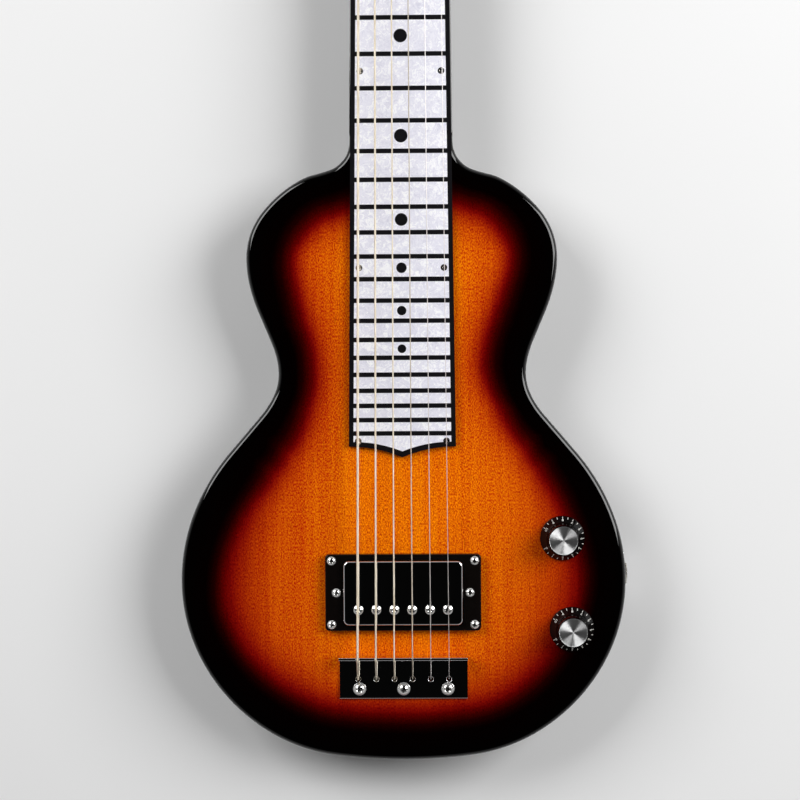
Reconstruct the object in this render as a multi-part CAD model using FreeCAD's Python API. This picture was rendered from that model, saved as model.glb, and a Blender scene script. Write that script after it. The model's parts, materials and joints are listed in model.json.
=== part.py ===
import FreeCAD, Part
import math
import os
from FreeCAD import Vector

# Lap steel guitar with six strings, in millimetres.
# X runs across the guitar with the treble side at +X, Y runs towards the head,
# Z runs up from the flat back. The bridge line is Y = 0 and the back face is Z = 0.

# Overall sizes
scale_length = 584.2
body_thickness = 38.0
lower_bout_half = 128.7
waist_half = 71.4
upper_bout_half = 89.5
tail_drop = 60.2
lower_bout_y = 44.2
waist_y = 164.5
upper_bout_y = 231.1
shoulder_y = 281.5
edge_radius = 3.0
back_radius = 3.0

# Neck and head
neck_margin = 0.6
neck_joint_y = 297.5
neck_back = 5.0
neck_back_radius = 4.0
heel_length = 24.0
head_thickness = 13.5
head_step = 8.0
ramp_bend = 3.0
veneer_thickness = 1.5
head_length = 141.8
head_half = 38.0

# Fretboard
board_thickness = 3.0
board_nut_half = 26.0
board_taper = 0.0105
board_point = 6.3
fret_count = 26
fret_line = 2.6
board_border = 2.6
end_cell = 7.5
panel_depth = 1.0
panel_clearance = 0.05
dot_cells = {3: 3.85, 5: 3.85, 7: 3.85, 9: 3.85, 12: 3.85, 15: 3.6, 17: 2.95, 19: 2.65, 21: 2.45}
screw_cells = (1, 5, 10, 17, 27)
board_screw_inset = 5.4
board_screw_head = 2.0
board_screw_shank = 1.2
board_screw_length = 14.0

# Nut and strings
nut_length = 5.0
string_top = 13.3
nut_bend_in = 0.4
nut_slot_fall = 2.6
nut_spacing = 8.8
bridge_spacing = 10.53
string_diameters = (1.42, 1.07, 0.81, 0.61, 0.43, 0.33)
string_clearance = 0.05
string_bend = 2.5
winding_half_turns = 5
ball_radius = 2.15
ball_height = 3.4

# Bridge plate
plate_thickness = 1.6
plate_half = 37.1
plate_back = 23.9
string_hole_y = -12.5
string_hole_radius = 1.3
countersink_radius = 1.75
bridge_screw_y = -18.2
bridge_screw_spacing = 25.6
bridge_screw_head = 3.8
bridge_screw_dome = 2.4
bridge_screw_shank = 1.9
bridge_screw_length = 20.0

# String ferrules in the back
ferrule_radius = 4.0
ferrule_flange = 4.7
ferrule_length = 9.0
ferrule_recess = 0.3
ball_seat_depth = 6.0
ball_seat_clearance = 0.1

# Pickup
pickup_y = 38.2
ring_margin_x = 10.6
ring_margin_y = 3.6
ring_corner = 2.4
ring_height = 5.0
cover_half_x = 34.4
cover_half_y = 18.6
cover_corner = 3.2
cover_rise = 8.5
cover_height = 14.5
cover_wall = 0.6
cover_gap = 0.4
pole_pitch = 10.3
pole_row = 9.5
pole_head = 2.8
pole_dome = 1.0
pole_shank = 1.5
ring_screw_out = 6.9
ring_screw_inset = 3.7
ring_screw_head = 2.6
ring_screw_shank = 1.3
ring_screw_dome = 1.3
ring_screw_length = 15.0
height_screw_out = 4.2
height_screw_shank = 1.3
height_screw_length = 20.0
leg_drop = 5.0
leg_reach = 8.4
leg_half_width = 6.0
sheet = 1.0
pocket_gap = 1.8
rout_depth = 20.0
leg_rout_depth = 27.0
sleeve_wall_radius = 2.4

# Coils and poles inside the pickup
bobbin_foot = 3.0
bobbin_flange = 1.2
bobbin_half = 25.5
bobbin_core = 3.2
bobbin_outer = 8.3
bobbin_end = 1.2
bobbin_slack = 0.4
winding_inset = 0.8
slug_radius = 2.4
keeper_half = 30.0
keeper_half_width = 2.6
magnet_half_width = 6.2
pole_extra = 3.0

# Controls
volume_inset = 36.7
volume_y = 69.1
tone_inset = 31.3
tone_y = 16.3
control_top = 5.0
cavity_radius = 16.5
cover_lip = 4.0
cover_plate = 2.0
cover_recess = 0.2
cover_screw_head = 1.9
cover_screw_shank = 0.9
cover_screw_length = 10.0
pot_radius = 11.9
pot_height = 9.0
bushing_radius = 4.6
bushing_clearance = 0.15
shaft_radius = 3.0
shaft_clearance = 0.05
shaft_rise = 12.0
pot_nut_flats = 12.0
pot_nut_height = 2.4
washer_radius = 7.2
washer_height = 0.8
knob_gap = 0.5
knob_skirt = 12.9
knob_barrel_low = 9.3
knob_barrel_high = 8.75
knob_height = 16.0
knob_cap = 8.15
lug_length = 6.0
wire_channel = 4.0
channel_depth = 16.0
wire_radius = 0.7

# Output jack
jack_y = 46.5
jack_flat = 2.2
jack_plate_length = 30.0
jack_plate_width = 24.0
jack_plate_thickness = 1.5
jack_bore = 3.25
jack_thread = 4.7
jack_length = 14.0
jack_pocket = 10.5
jack_nut_flats = 12.0
jack_nut_thickness = 2.2
jack_flange = 7.6
jack_wafer = 8.6
jack_leaf_half = 2.2
jack_screw_inset = 3.5
jack_screw_head = 2.2
jack_screw_shank = 1.2
jack_screw_length = 12.0

# Tuners
post_x = 26.0
first_post = 39.8
post_pitch = 37.0
post_radius = 3.0
post_waist = 2.3
post_rise = 15.5
post_hole_height = 11.0
post_hole_radius = 0.85
post_waist_low = 2.6
sleeve_bore = 3.06
sleeve_radius = 4.2
sleeve_flange = 5.25
sleeve_flange_height = 1.2
sleeve_depth = 8.0
winding_clearance = 0.25
module = 0.75
wheel_teeth = 14
wheel_width = 4.0
wheel_gap = 1.4
wheel_bore = 2.2
wheel_screw_head = 2.9
wheel_screw_shank = 1.0
wheel_screw_length = 3.0
tooth_share = 0.40
worm_pitch_radius = 2.6
worm_tip_radius = 3.2
worm_root_radius = 1.7
worm_turns = 3
worm_shaft = 1.5
lug_thickness = 1.5
lug_gap = 0.3
lug_bore = 1.56
lug_half = 3.2
tuner_plate = 1.2
tuner_plate_half = 7.5
tuner_plate_back = 16.0
tuner_plate_front = 10.5
tuner_screw_inset = 2.4
tuner_screw_head = 2.2
tuner_screw_shank = 1.2
tuner_screw_length = 10.0
button_start = 15.0
button_length = 20.0
button_half = 8.5
button_thickness = 7.6

# Sizes that follow from the ones above
top = body_thickness
nut_y = scale_length
nut_back_y = nut_y + nut_length
board_top = top + board_thickness
last_fret_y = scale_length * 2 ** (-fret_count / 12)
board_end = last_fret_y - end_cell
head_top = top - head_step
head_wood_top = head_top - veneer_thickness
head_back = head_wood_top - head_thickness
head_start = nut_y + 22.0
head_end = nut_y + nut_length + head_length
string_plane = top + string_top
ring_half_x = cover_half_x + ring_margin_x
ring_half_y = cover_half_y + ring_margin_y
ring_screw_x = cover_half_x + ring_screw_out
ring_screw_y = ring_half_y - ring_screw_inset
height_screw_x = cover_half_x + height_screw_out
leg_end = cover_half_x + leg_reach
cover_top = top + cover_rise
cover_bottom = cover_top - cover_height
bobbin_low = cover_bottom + sheet + bobbin_foot
bobbin_high = cover_top - cover_wall - bobbin_slack
leg_top = cover_bottom - leg_drop + sheet
volume_x = lower_bout_half - volume_inset
tone_x = lower_bout_half - tone_inset
jack_face = lower_bout_half - jack_flat
jack_z = body_thickness / 2
ceiling = top - control_top
plate_bottom = head_back - tuner_plate
wheel_top = plate_bottom - wheel_gap
worm_z = wheel_top - wheel_width / 2
wheel_radius = module * wheel_teeth / 2
worm_offset = wheel_radius + worm_pitch_radius
thread_pitch = math.pi * module
post_places = [nut_y + first_post + post_pitch * i for i in range(3)]
X = Vector(1, 0, 0)
Y = Vector(0, 1, 0)
Z = Vector(0, 0, 1)


def board_half(y):
    return board_nut_half + board_taper * (nut_y - y)


def direction(degrees):
    return Vector(math.cos(math.radians(degrees)), math.sin(math.radians(degrees)), 0)


def box(x0, x1, y0, y1, z0, z1):
    return Part.makeBox(x1 - x0, y1 - y0, z1 - z0, Vector(x0, y0, z0))


def rod(radius, start, end):
    axis = end - start
    return Part.makeCylinder(radius, axis.Length, start, axis)


def upright(radius, x, y, z0, z1):
    return rod(radius, Vector(x, y, z0), Vector(x, y, z1))


def joined(shapes):
    return shapes[0].multiFuse(shapes[1:]).removeSplitter() if len(shapes) > 1 else shapes[0]


def mirrored(shape):
    return shape.mirror(Vector(0, 0, 0), X)


def rounded_wire(points, radii, closed=True):
    # Straight runs joined by tangent arcs, with one radius for each corner.
    count = len(points)
    starts = list(points)
    ends = list(points)
    arcs = {}
    for i in range(0 if closed else 1, count if closed else count - 1):
        if radii[i] <= 0:
            continue
        here = points[i]
        back = (points[i - 1] - here).normalize()
        ahead = (points[(i + 1) % count] - here).normalize()
        half = back.getAngle(ahead) / 2
        reach = radii[i] / math.tan(half)
        middle = (back + ahead).normalize() * (radii[i] / math.sin(half) - radii[i])
        starts[i] = here + back * reach
        ends[i] = here + ahead * reach
        arcs[i] = Part.Arc(starts[i], here + middle, ends[i]).toShape()
    edges = []
    for i in range(count):
        if i in arcs:
            edges.append(arcs[i])
        following = (i + 1) % count
        run = (starts[following] - ends[i]).Length
        if (closed or following) and run > 1e-6:
            edges.append(Part.makeLine(ends[i], starts[following]))
    return Part.Wire(edges)


def rectangle(cx, cy, half_x, half_y, corner, z):
    corners = [(-1, -1), (1, -1), (1, 1), (-1, 1)]
    points = [Vector(cx + half_x * a, cy + half_y * b, z) for a, b in corners]
    return rounded_wire(points, [corner] * 4)


def slab(cx, cy, half_x, half_y, corner, z0, z1):
    return Part.Face(rectangle(cx, cy, half_x, half_y, corner, z0)).extrude(Z * (z1 - z0))


def turned(points, radii, x=0.0, y=0.0, z=0.0):
    # A solid of revolution about an upright axis, from its section as (radius, height).
    section = [Vector(r, 0, h) for r, h in points]
    face = Part.Face(rounded_wire(section, radii))
    solid = face.revolve(Vector(0, 0, 0), Z, 360)
    solid.translate(Vector(x, y, z))
    return solid


def capsule(ends, radius, z0, z1):
    # Two round ends joined by straight sides.
    a, b = [Vector(x, y, z0) for x, y in ends]
    along = (b - a).normalize()
    side = Vector(-along.y, along.x, 0) * radius
    edges = [Part.makeLine(a + side, b + side),
             Part.Arc(b + side, b + along * radius, b - side).toShape(),
             Part.makeLine(b - side, a - side),
             Part.Arc(a - side, a - along * radius, a + side).toShape()]
    return Part.Face(Part.Wire(edges)).extrude(Z * (z1 - z0))


def hexagon_nut(flats, bore, height):
    radius = flats / math.sqrt(3)
    points = [Vector(radius * math.cos(math.pi * i / 3), radius * math.sin(math.pi * i / 3), 0)
              for i in range(6)]
    block = Part.Face(Part.makePolygon(points + points[:1])).extrude(Z * height)
    return block.cut(Part.makeCylinder(bore, height))


def tube(wire, radius):
    # A round section swept along runs and arcs.
    start = wire.OrderedEdges[0]
    at = start.valueAt(start.FirstParameter)
    along = start.tangentAt(start.FirstParameter)
    if (at - wire.OrderedVertexes[0].Point).Length > 1e-6:
        at = start.valueAt(start.LastParameter)
        along = start.tangentAt(start.LastParameter) * -1
    ring = Part.Wire(Part.makeCircle(radius, at, along))
    solid = wire.makePipeShell([ring], True, False)
    if solid.Volume < 0:
        solid.reverse()
    return solid


def cord(points):
    # Hookup wire with arcs as large as its runs allow.
    radii = [0.0] * len(points)
    for i in range(1, len(points) - 1):
        back = points[i - 1] - points[i]
        ahead = points[i + 1] - points[i]
        half_turn = (math.pi - back.getAngle(ahead)) / 2
        radii[i] = 0.45 * min(back.Length, ahead.Length) / math.tan(half_turn)
    print("wire bends", [round(r, 1) for r in radii[1:-1]])
    return tube(rounded_wire(points, radii, False), wire_radius)


def tangent_arc(start, heading, end):
    chord = end - start
    turn = math.radians(heading)
    sweep = math.atan2(chord.y, chord.x) - turn
    sweep = (sweep + math.pi) % (2 * math.pi) - math.pi
    if abs(sweep) < 1e-4:
        return Part.makeLine(start, end)
    normal = Vector(chord.y, -chord.x, 0) * (0.5 * math.tan(sweep / 2))
    return Part.Arc(start, (start + end) * 0.5 + normal, end).toShape()


def two_arcs(a, b):
    # Two tangent arcs between stations given as (x, y, heading in degrees).
    start, end = Vector(a[0], a[1], 0), Vector(b[0], b[1], 0)
    out, into = direction(a[2]), direction(b[2])
    gap = end - start
    together = gap.dot(out + into)
    spread = 2 * (1 - out.dot(into))
    if spread < 1e-9:
        return [Part.makeLine(start, end)]
    reach = (math.sqrt(together ** 2 + spread * gap.dot(gap)) - together) / spread
    meet = (start + out * reach + end - into * reach) * 0.5
    first = tangent_arc(start, a[2], meet)
    last = tangent_arc(end, b[2] + 180, meet)
    return [first, last]


def outline_stations():
    # Treble side, from the tail round to the crown of the head.
    joint_half = board_half(neck_joint_y) + neck_margin
    nut_half = board_half(nut_back_y) + neck_margin
    lean = 90 + math.degrees(math.atan(board_taper))
    low_flank = (lower_bout_half - 28.3, waist_y - 46.0)
    high_flank = (waist_half + 10.2, waist_y - 24.0)
    flank = math.degrees(math.atan2(high_flank[1] - low_flank[1], high_flank[0] - low_flank[0]))
    flare_low = (waist_half + 4.3, waist_y + 18.7)
    flare_high = (upper_bout_half - 6.9, upper_bout_y - 31.5)
    flare = math.degrees(math.atan2(flare_high[1] - flare_low[1], flare_high[0] - flare_low[0]))
    side_lean = 88.4
    return [
        (0.0, -tail_drop, 0.0),
        (lower_bout_half - 51.3, 15.7 - tail_drop, 30.9),
        (lower_bout_half, lower_bout_y, 90.0),
        (low_flank[0], low_flank[1], flank),
        (high_flank[0], high_flank[1], flank),
        (waist_half, waist_y, 90.0),
        (flare_low[0], flare_low[1], flare),
        (flare_high[0], flare_high[1], flare),
        (upper_bout_half, upper_bout_y, 90.0),
        (upper_bout_half - 31.2, shoulder_y - 5.6, 151.4),
        (joint_half + 11.8, shoulder_y, 161.0),
        (joint_half, neck_joint_y, lean),
        (nut_half, nut_back_y + 3.0, lean),
        (head_half - 7.0, nut_y + 24.0, 62.0),
        (head_half - 3.0, nut_y + 38.0, side_lean),
        (head_half - 0.5, nut_y + 38.0 + 2.5 * math.tan(math.radians(side_lean)), side_lean),
        (0.0, head_end, 180.0),
    ]


def outline_face():
    stations = outline_stations()
    right = []
    for a, b in zip(stations, stations[1:]):
        right += two_arcs(a, b)
    left = [edge.mirror(Vector(0, 0, 0), X) for edge in right]
    wire = Part.Wire(Part.__sortEdges__(right + left))
    return Part.Face(wire)


def side_profile(split):
    # Side view of the neck and head, as (y, z) with a bend radius.
    ramp = nut_y - 8.0
    far = head_end + 10.0
    stations = [
        (split, 0.0, 0.0), (split + 2.0, 0.0, 18.0), (split + heel_length, neck_back, 18.0),
        (ramp, neck_back, 18.0), (ramp + 26.0, head_back, 18.0), (far, head_back, 0.0),
        (far, head_wood_top, 0.0), (head_start, head_wood_top, ramp_bend),
        (nut_back_y + 3.0, top, ramp_bend), (split, top, 0.0)]
    reach = lower_bout_half
    points = [Vector(-reach, y, z) for y, z, r in stations]
    wire = rounded_wire(points, [r for y, z, r in stations])
    return Part.Face(wire).extrude(X * (2 * reach))


def level_edges(solid, low, high, before):
    found = []
    for edge in solid.Edges:
        bounds = edge.BoundBox
        if bounds.ZMin > low and bounds.ZMax < high and bounds.YMax < before:
            found.append(edge)
    return found


def blank():
    # Body with rounded rims, joined to the neck and head cut to their side view.
    split = neck_joint_y + 3.0
    reach = lower_bout_half + 10
    plan = outline_face().extrude(Z * top)
    body = plan.common(box(-reach, reach, -tail_drop - 10, split, -1, top + 1))
    body = body.makeFillet(edge_radius, level_edges(body, top - 0.01, top + 0.01, split - 0.01))
    body = body.makeFillet(back_radius, level_edges(body, -0.01, 0.01, split - 0.01))
    neck = plan.common(box(-reach, reach, split, head_end + 10, -1, top + 1))
    neck = neck.common(side_profile(split))
    backs = []
    for edge in neck.Edges:
        bounds = edge.BoundBox
        straight = bounds.YMin > split + heel_length and bounds.YMax < nut_y
        if straight and bounds.ZMax < neck_back + 0.1 and bounds.YLength > 100:
            backs.append(edge)
    neck = neck.makeFillet(neck_back_radius, backs)
    return joined([body, neck])


def frets():
    return [scale_length * 2 ** (-n / 12) for n in range(fret_count + 1)]


def cell_span(number):
    lines = frets()
    half = fret_line / 2
    upper = lines[number - 1] - half if number > 1 else nut_y - board_border
    lower = lines[number] + half if number <= fret_count else None
    return lower, upper


def cell_wire(number, shrink, z):
    # One pearl cell: straight ends, and the last one ends along the point of the board.
    lower, upper = cell_span(number)
    edge = board_border + shrink
    up = upper - shrink
    if lower is not None:
        low = lower + shrink
        points = [(-board_half(low) + edge, low), (board_half(low) - edge, low),
                  (board_half(up) - edge, up), (-board_half(up) + edge, up)]
        corners = [Vector(x, y, z) for x, y in points]
        return Part.makePolygon(corners + corners[:1])
    half_low = board_half(board_end) - edge
    half_up = board_half(up) - edge
    low = board_end + edge
    tip = Vector(0, low - board_point + 0.8, z)
    corner = Vector(half_low, low, z)
    right = tangent_arc(corner, 180, tip)
    left = right.mirror(Vector(0, 0, 0), X)
    edges = [Part.makeLine(Vector(-half_up, up, z), Vector(-half_low, low, z)), left, right,
             Part.makeLine(corner, Vector(half_up, up, z)),
             Part.makeLine(Vector(half_up, up, z), Vector(-half_up, up, z))]
    return Part.Wire(Part.__sortEdges__(edges))


def cell_solid(number, shrink, z0, z1):
    solid = Part.Face(cell_wire(number, shrink, z0)).extrude(Z * (z1 - z0))
    if number in dot_cells:
        lower, upper = cell_span(number)
        radius = dot_cells[number] + shrink
        solid = solid.cut(upright(radius, 0, (lower + upper) / 2, z0, z1))
    return solid


def board_screw_places():
    places = []
    for number in screw_cells:
        lower, upper = cell_span(number)
        y = (upper + (lower if lower is not None else board_end)) / 2
        x = board_half(y) - board_screw_inset
        places += [(x, y), (-x, y)]
    return places


def countersunk(x, y, z, head, shank, length):
    # A screw whose flat head is sunk flush at height z.
    points = [(0, -length), (shank, -length + shank), (shank, shank - head), (head, 0), (0, 0)]
    return turned(points, [0] * len(points), x, y, z)


def dome_screw(x, y, z, head, height, shank, length):
    # A screw with a domed head that sits on height z.
    sphere = (head ** 2 + height ** 2) / (2 * height)
    shoulder = Vector(head / 2, 0, math.sqrt(sphere ** 2 - head ** 2 / 4) - sphere + height)
    cap = Part.Arc(Vector(head, 0, 0), shoulder, Vector(0, 0, height)).toShape()
    points = [Vector(0, 0, height), Vector(0, 0, -length), Vector(shank, 0, shank - length),
              Vector(shank, 0, 0), Vector(head, 0, 0)]
    lines = [Part.makeLine(a, b) for a, b in zip(points, points[1:])]
    solid = Part.Face(Part.Wire(lines + [cap])).revolve(Vector(0, 0, 0), Z, 360)
    if solid.Volume < 0:
        solid.reverse()
    solid.translate(Vector(x, y, z))
    return solid


def fretboard():
    half_end = board_half(board_end)
    corner = Vector(half_end, board_end, top)
    right = tangent_arc(corner, 180, Vector(0, board_end - board_point, top))
    left = right.mirror(Vector(0, 0, 0), X)
    nut_corner = Vector(board_half(nut_y), nut_y, top)
    nut_left = Vector(-board_half(nut_y), nut_y, top)
    edges = [right, left, Part.makeLine(corner, nut_corner), Part.makeLine(nut_corner, nut_left),
             Part.makeLine(nut_left, Vector(-half_end, board_end, top))]
    board = Part.Face(Part.Wire(Part.__sortEdges__(edges))).extrude(Z * board_thickness)
    cuts = [cell_solid(n, 0, board_top - panel_depth, board_top) for n in range(1, fret_count + 2)]
    return board.cut(cuts + board_screw_seats())


def board_screw_seats():
    return [countersunk(x, y, board_top, board_screw_head, board_screw_shank, 6)
            for x, y in board_screw_places()]


def pearl_panels():
    heads = board_screw_seats()
    panels = []
    for number in range(1, fret_count + 2):
        panel = cell_solid(number, panel_clearance, board_top - panel_depth, board_top)
        if number in screw_cells:
            panel = panel.cut(heads)
        panels.append(panel)
    return Part.makeCompound(panels)


def fretboard_screws():
    screws = [countersunk(x, y, board_top, board_screw_head, board_screw_shank,
                          board_screw_length) for x, y in board_screw_places()]
    return Part.makeCompound(screws)


def string_places():
    # Bridge x, nut x and centre height of each string.
    places = []
    for i, diameter in enumerate(string_diameters):
        step = i - 2.5
        places.append((step * bridge_spacing, step * nut_spacing, string_plane - diameter / 2))
    return places


def string_lead(index):
    # Where a string leaves the nut, its heading, and where it meets its post.
    diameter = string_diameters[index]
    bridge_x, nut_x, height = string_places()[index]
    side, post_y = post_place(index)
    around = post_waist + winding_clearance + diameter / 2
    level = head_top + post_hole_height - post_hole_radius - diameter / 2 - 0.3
    centre = Vector(side * post_x, post_y, level)
    leave = Vector(nut_x, nut_y + nut_bend_in, height)
    gap = Vector(centre.x - leave.x, centre.y - leave.y, 0)
    heading = math.atan2(gap.y, gap.x) + side * math.asin(around / gap.Length)
    ahead = Vector(math.cos(heading), math.sin(heading), 0)
    outward = Vector(ahead.y, -ahead.x, 0) * -side
    return leave, ahead, centre, outward, around


def nut():
    half = board_half(nut_y) + neck_margin
    front = string_plane + 0.2
    points = [Vector(-half, nut_y, top), Vector(-half, nut_back_y, top),
              Vector(-half, nut_back_y, front - 1.8), Vector(-half, nut_y, front)]
    block = Part.Face(rounded_wire(points, [0, 0, 1.0, 0.6])).extrude(X * (2 * half))
    slots = []
    for index, diameter in enumerate(string_diameters):
        leave, ahead, centre, outward, around = string_lead(index)
        width = diameter / 2 + string_clearance
        floor = leave.z - width
        slots.append(box(leave.x - width, leave.x + width, nut_y - 1, leave.y + 0.2, floor,
                         front + 5))
        side = Vector(ahead.y, -ahead.x, 0) * width
        near = leave - side - ahead * 0.3
        far = near + ahead * (nut_length + 2)
        profile = [Vector(near.x, near.y, floor), Vector(far.x, far.y, floor - nut_slot_fall),
                   Vector(far.x, far.y, front + 5), Vector(near.x, near.y, front + 5)]
        slots.append(Part.Face(Part.makePolygon(profile + profile[:1])).extrude(side * 2))
    return block.cut(slots)


def bridge_plate():
    # Bent plate: a foot on the body and an upright lip that carries the strings.
    lip = string_plane + 0.3
    inner = 1.2
    points = [Vector(-plate_half, -plate_back, top),
              Vector(-plate_half, plate_thickness, top),
              Vector(-plate_half, plate_thickness, lip),
              Vector(-plate_half, 0, lip),
              Vector(-plate_half, 0, top + plate_thickness),
              Vector(-plate_half, -plate_back, top + plate_thickness)]
    radii = [0, inner + plate_thickness, 0.5, 0.5, inner, 0.5]
    plate = Part.Face(rounded_wire(points, radii)).extrude(X * (2 * plate_half))
    cuts = []
    for diameter, (bridge_x, nut_x, height) in zip(string_diameters, string_places()):
        width = diameter / 2 + string_clearance
        floor = height - width
        cuts.append(box(bridge_x - width, bridge_x + width, -1, plate_thickness + 1, floor, lip + 1))
        cuts.append(upright(string_hole_radius, bridge_x, string_hole_y, top, top + plate_thickness))
        rim = countersink_radius - string_hole_radius
        cuts.append(Part.makeCone(string_hole_radius, countersink_radius, rim,
                                  Vector(bridge_x, string_hole_y, top + plate_thickness - rim), Z))
    for side in (-1, 0, 1):
        cuts.append(upright(bridge_screw_shank + 0.1, side * bridge_screw_spacing, bridge_screw_y,
                            top, top + plate_thickness))
    return plate.cut(cuts)


def bridge_screws():
    return Part.makeCompound([
        dome_screw(side * bridge_screw_spacing, bridge_screw_y, top + plate_thickness,
                   bridge_screw_head, bridge_screw_dome, bridge_screw_shank, bridge_screw_length)
        for side in (-1, 0, 1)])


def string_ferrules():
    seat = ball_radius + ball_seat_clearance
    points = [(seat, 0), (ferrule_flange, 0), (ferrule_flange, 1.0), (ferrule_radius, 1.0),
              (ferrule_radius, ferrule_length), (string_hole_radius, ferrule_length),
              (string_hole_radius, ball_seat_depth), (seat, ball_seat_depth)]
    return Part.makeCompound([
        turned(points, [0] * len(points), bridge_x, string_hole_y, ferrule_recess)
        for bridge_x, nut_x, height in string_places()])


def post_place(index):
    # The outer strings go to the posts nearest the nut.
    rank = min(index, 5 - index)
    side = -1 if index < 3 else 1
    return side, post_places[rank]


def string_wire(index):
    # Up from the ferrule, over the bridge lip and the nut, then round the post.
    diameter = string_diameters[index]
    bridge_x, nut_x, height = string_places()[index]
    leave, ahead, centre, outward, around = string_lead(index)
    touch = centre + outward * around
    rise = top + plate_thickness + 0.8
    ball_top = ferrule_recess + ball_seat_depth
    points = [Vector(bridge_x, string_hole_y, ball_top), Vector(bridge_x, string_hole_y, rise),
              Vector(bridge_x, -string_bend * 0.43, height), leave, touch - ahead * 4.0, touch]
    radii = [0, string_bend, string_bend, string_bend, 12.0, 0]
    run = rounded_wire(points, radii, False)
    # Tilted half turns wind down the post, level at both ends of each.
    edges = list(run.OrderedEdges)
    fall = (diameter + 0.15) / 2
    here = touch
    out = outward
    onward = ahead
    for turn in range(winding_half_turns):
        there = here - out * (2 * around) - Z * fall
        middle = (here + there) * 0.5
        half_chord = (there - here).Length / 2
        edges.append(Part.Arc(here, middle + onward * half_chord, there).toShape())
        here, out, onward = there, out * -1, onward * -1
    return Part.Wire(edges)


def string(index):
    bridge_x = string_places()[index][0]
    radius = string_diameters[index] / 2
    line = tube(string_wire(index), radius)
    foot = ferrule_recess + ball_seat_depth
    ball = upright(ball_radius, bridge_x, string_hole_y, foot - ball_height, foot)
    return Part.makeCompound([line, ball])


def pickup_ring():
    ring = slab(0, pickup_y, ring_half_x, ring_half_y, ring_corner, top, top + ring_height)
    rim = [edge for edge in ring.Edges if edge.BoundBox.ZMin > top + ring_height - 0.01]
    ring = ring.makeFillet(0.8, rim)
    window = slab(0, pickup_y, cover_half_x + cover_gap, cover_half_y + cover_gap,
                  cover_corner + cover_gap, top - 1, top + ring_height + 1)
    cuts = [window]
    for x in (-1, 1):
        cuts.append(upright(height_screw_shank + 0.15, x * height_screw_x, pickup_y, top,
                            top + ring_height))
        for y in (-1, 1):
            cuts.append(upright(ring_screw_shank + 0.1, x * ring_screw_x,
                                pickup_y + y * ring_screw_y, top, top + ring_height))
    return ring.cut(cuts)


def ring_screws():
    return Part.makeCompound([
        dome_screw(x * ring_screw_x, pickup_y + y * ring_screw_y, top + ring_height,
                   ring_screw_head, ring_screw_dome, ring_screw_shank, ring_screw_length)
        for x in (-1, 1) for y in (-1, 1)])


def pole_places():
    return [((i - 2.5) * pole_pitch, pickup_y - pole_row) for i in range(6)]


def pickup_cover():
    # Drawn metal can, open below, with holes for the adjustable poles.
    outer = slab(0, pickup_y, cover_half_x, cover_half_y, cover_corner, cover_bottom, cover_top)
    rim = [edge for edge in outer.Edges if edge.BoundBox.ZMin > cover_top - 0.01]
    outer = outer.makeFillet(1.2, rim)
    inner = slab(0, pickup_y, cover_half_x - cover_wall, cover_half_y - cover_wall,
                 cover_corner - cover_wall, cover_bottom, cover_top - cover_wall)
    holes = [upright(pole_shank + 0.9, x, y, cover_top - 2, cover_top + 1)
             for x, y in pole_places()]
    return outer.cut([inner] + holes)


def pickup_baseplate():
    # Sheet plate inside the can, with a bent leg at each end for the height screws.
    half_x = cover_half_x - cover_wall - 0.3
    half_y = cover_half_y - cover_wall - 0.3
    plate = slab(0, pickup_y, half_x, half_y, cover_corner - cover_wall - 0.3, cover_bottom,
                 cover_bottom + sheet)
    legs = []
    for side in (-1, 1):
        inner = side * (half_x - 1.0)
        points = [Vector(inner, 0, cover_bottom + sheet / 2),
                  Vector(inner, 0, leg_top - sheet),
                  Vector(side * leg_end, 0, leg_top - sheet),
                  Vector(side * leg_end, 0, leg_top),
                  Vector(inner + side * sheet, 0, leg_top),
                  Vector(inner + side * sheet, 0, cover_bottom + sheet / 2)]
        for point in points:
            point.y = pickup_y - leg_half_width
        leg = Part.Face(Part.makePolygon(points + points[:1])).extrude(Y * (2 * leg_half_width))
        legs.append(leg)
    solid = joined([plate] + legs)
    cuts = [upright(pole_shank + 0.1, x, y, cover_bottom - 1, cover_bottom + 2)
            for x, y in pole_places()]
    for side in (-1, 1):
        cuts.append(upright(height_screw_shank + 0.1, side * height_screw_x, pickup_y,
                            leg_top - 2, leg_top + 1))
    return solid.cut(cuts)


def stadium(cx, cy, half_x, radius, z0, z1):
    return capsule([(cx - half_x, cy), (cx + half_x, cy)], radius, z0, z1)


def bobbin_rows():
    return (pickup_y - pole_row, pickup_y + pole_row)


def coil_bobbins():
    bobbins = []
    for row in bobbin_rows():
        core = stadium(0, row, bobbin_half, bobbin_core, bobbin_low, bobbin_high)
        reach = bobbin_half - bobbin_end
        low = stadium(0, row, reach, bobbin_outer, bobbin_low, bobbin_low + bobbin_flange)
        high = stadium(0, row, reach, bobbin_outer, bobbin_high - bobbin_flange, bobbin_high)
        bore = slug_radius if row > pickup_y else pole_shank + 0.1
        holes = [upright(bore, (i - 2.5) * pole_pitch, row, bobbin_low - 1, bobbin_high + 1)
                 for i in range(6)]
        bobbins.append(joined([core, low, high]).cut(holes))
    return Part.makeCompound(bobbins)


def coil_windings():
    coils = []
    for row in bobbin_rows():
        low = bobbin_low + bobbin_flange
        high = bobbin_high - bobbin_flange
        outer = stadium(0, row, bobbin_half - bobbin_end, bobbin_outer - winding_inset, low, high)
        coils.append(outer.cut(stadium(0, row, bobbin_half, bobbin_core, low, high)))
    return Part.makeCompound(coils)


def slug_poles():
    row = pickup_y + pole_row
    return Part.makeCompound([
        upright(slug_radius, (i - 2.5) * pole_pitch, row, cover_bottom + sheet, bobbin_high)
        for i in range(6)])


def keeper_bar():
    row = pickup_y - pole_row
    bar = slab(0, row, keeper_half, keeper_half_width, 0.5, cover_bottom + sheet, bobbin_low)
    return bar.cut([upright(pole_shank, x, y, cover_bottom, bobbin_low + 1)
                    for x, y in pole_places()])


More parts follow.
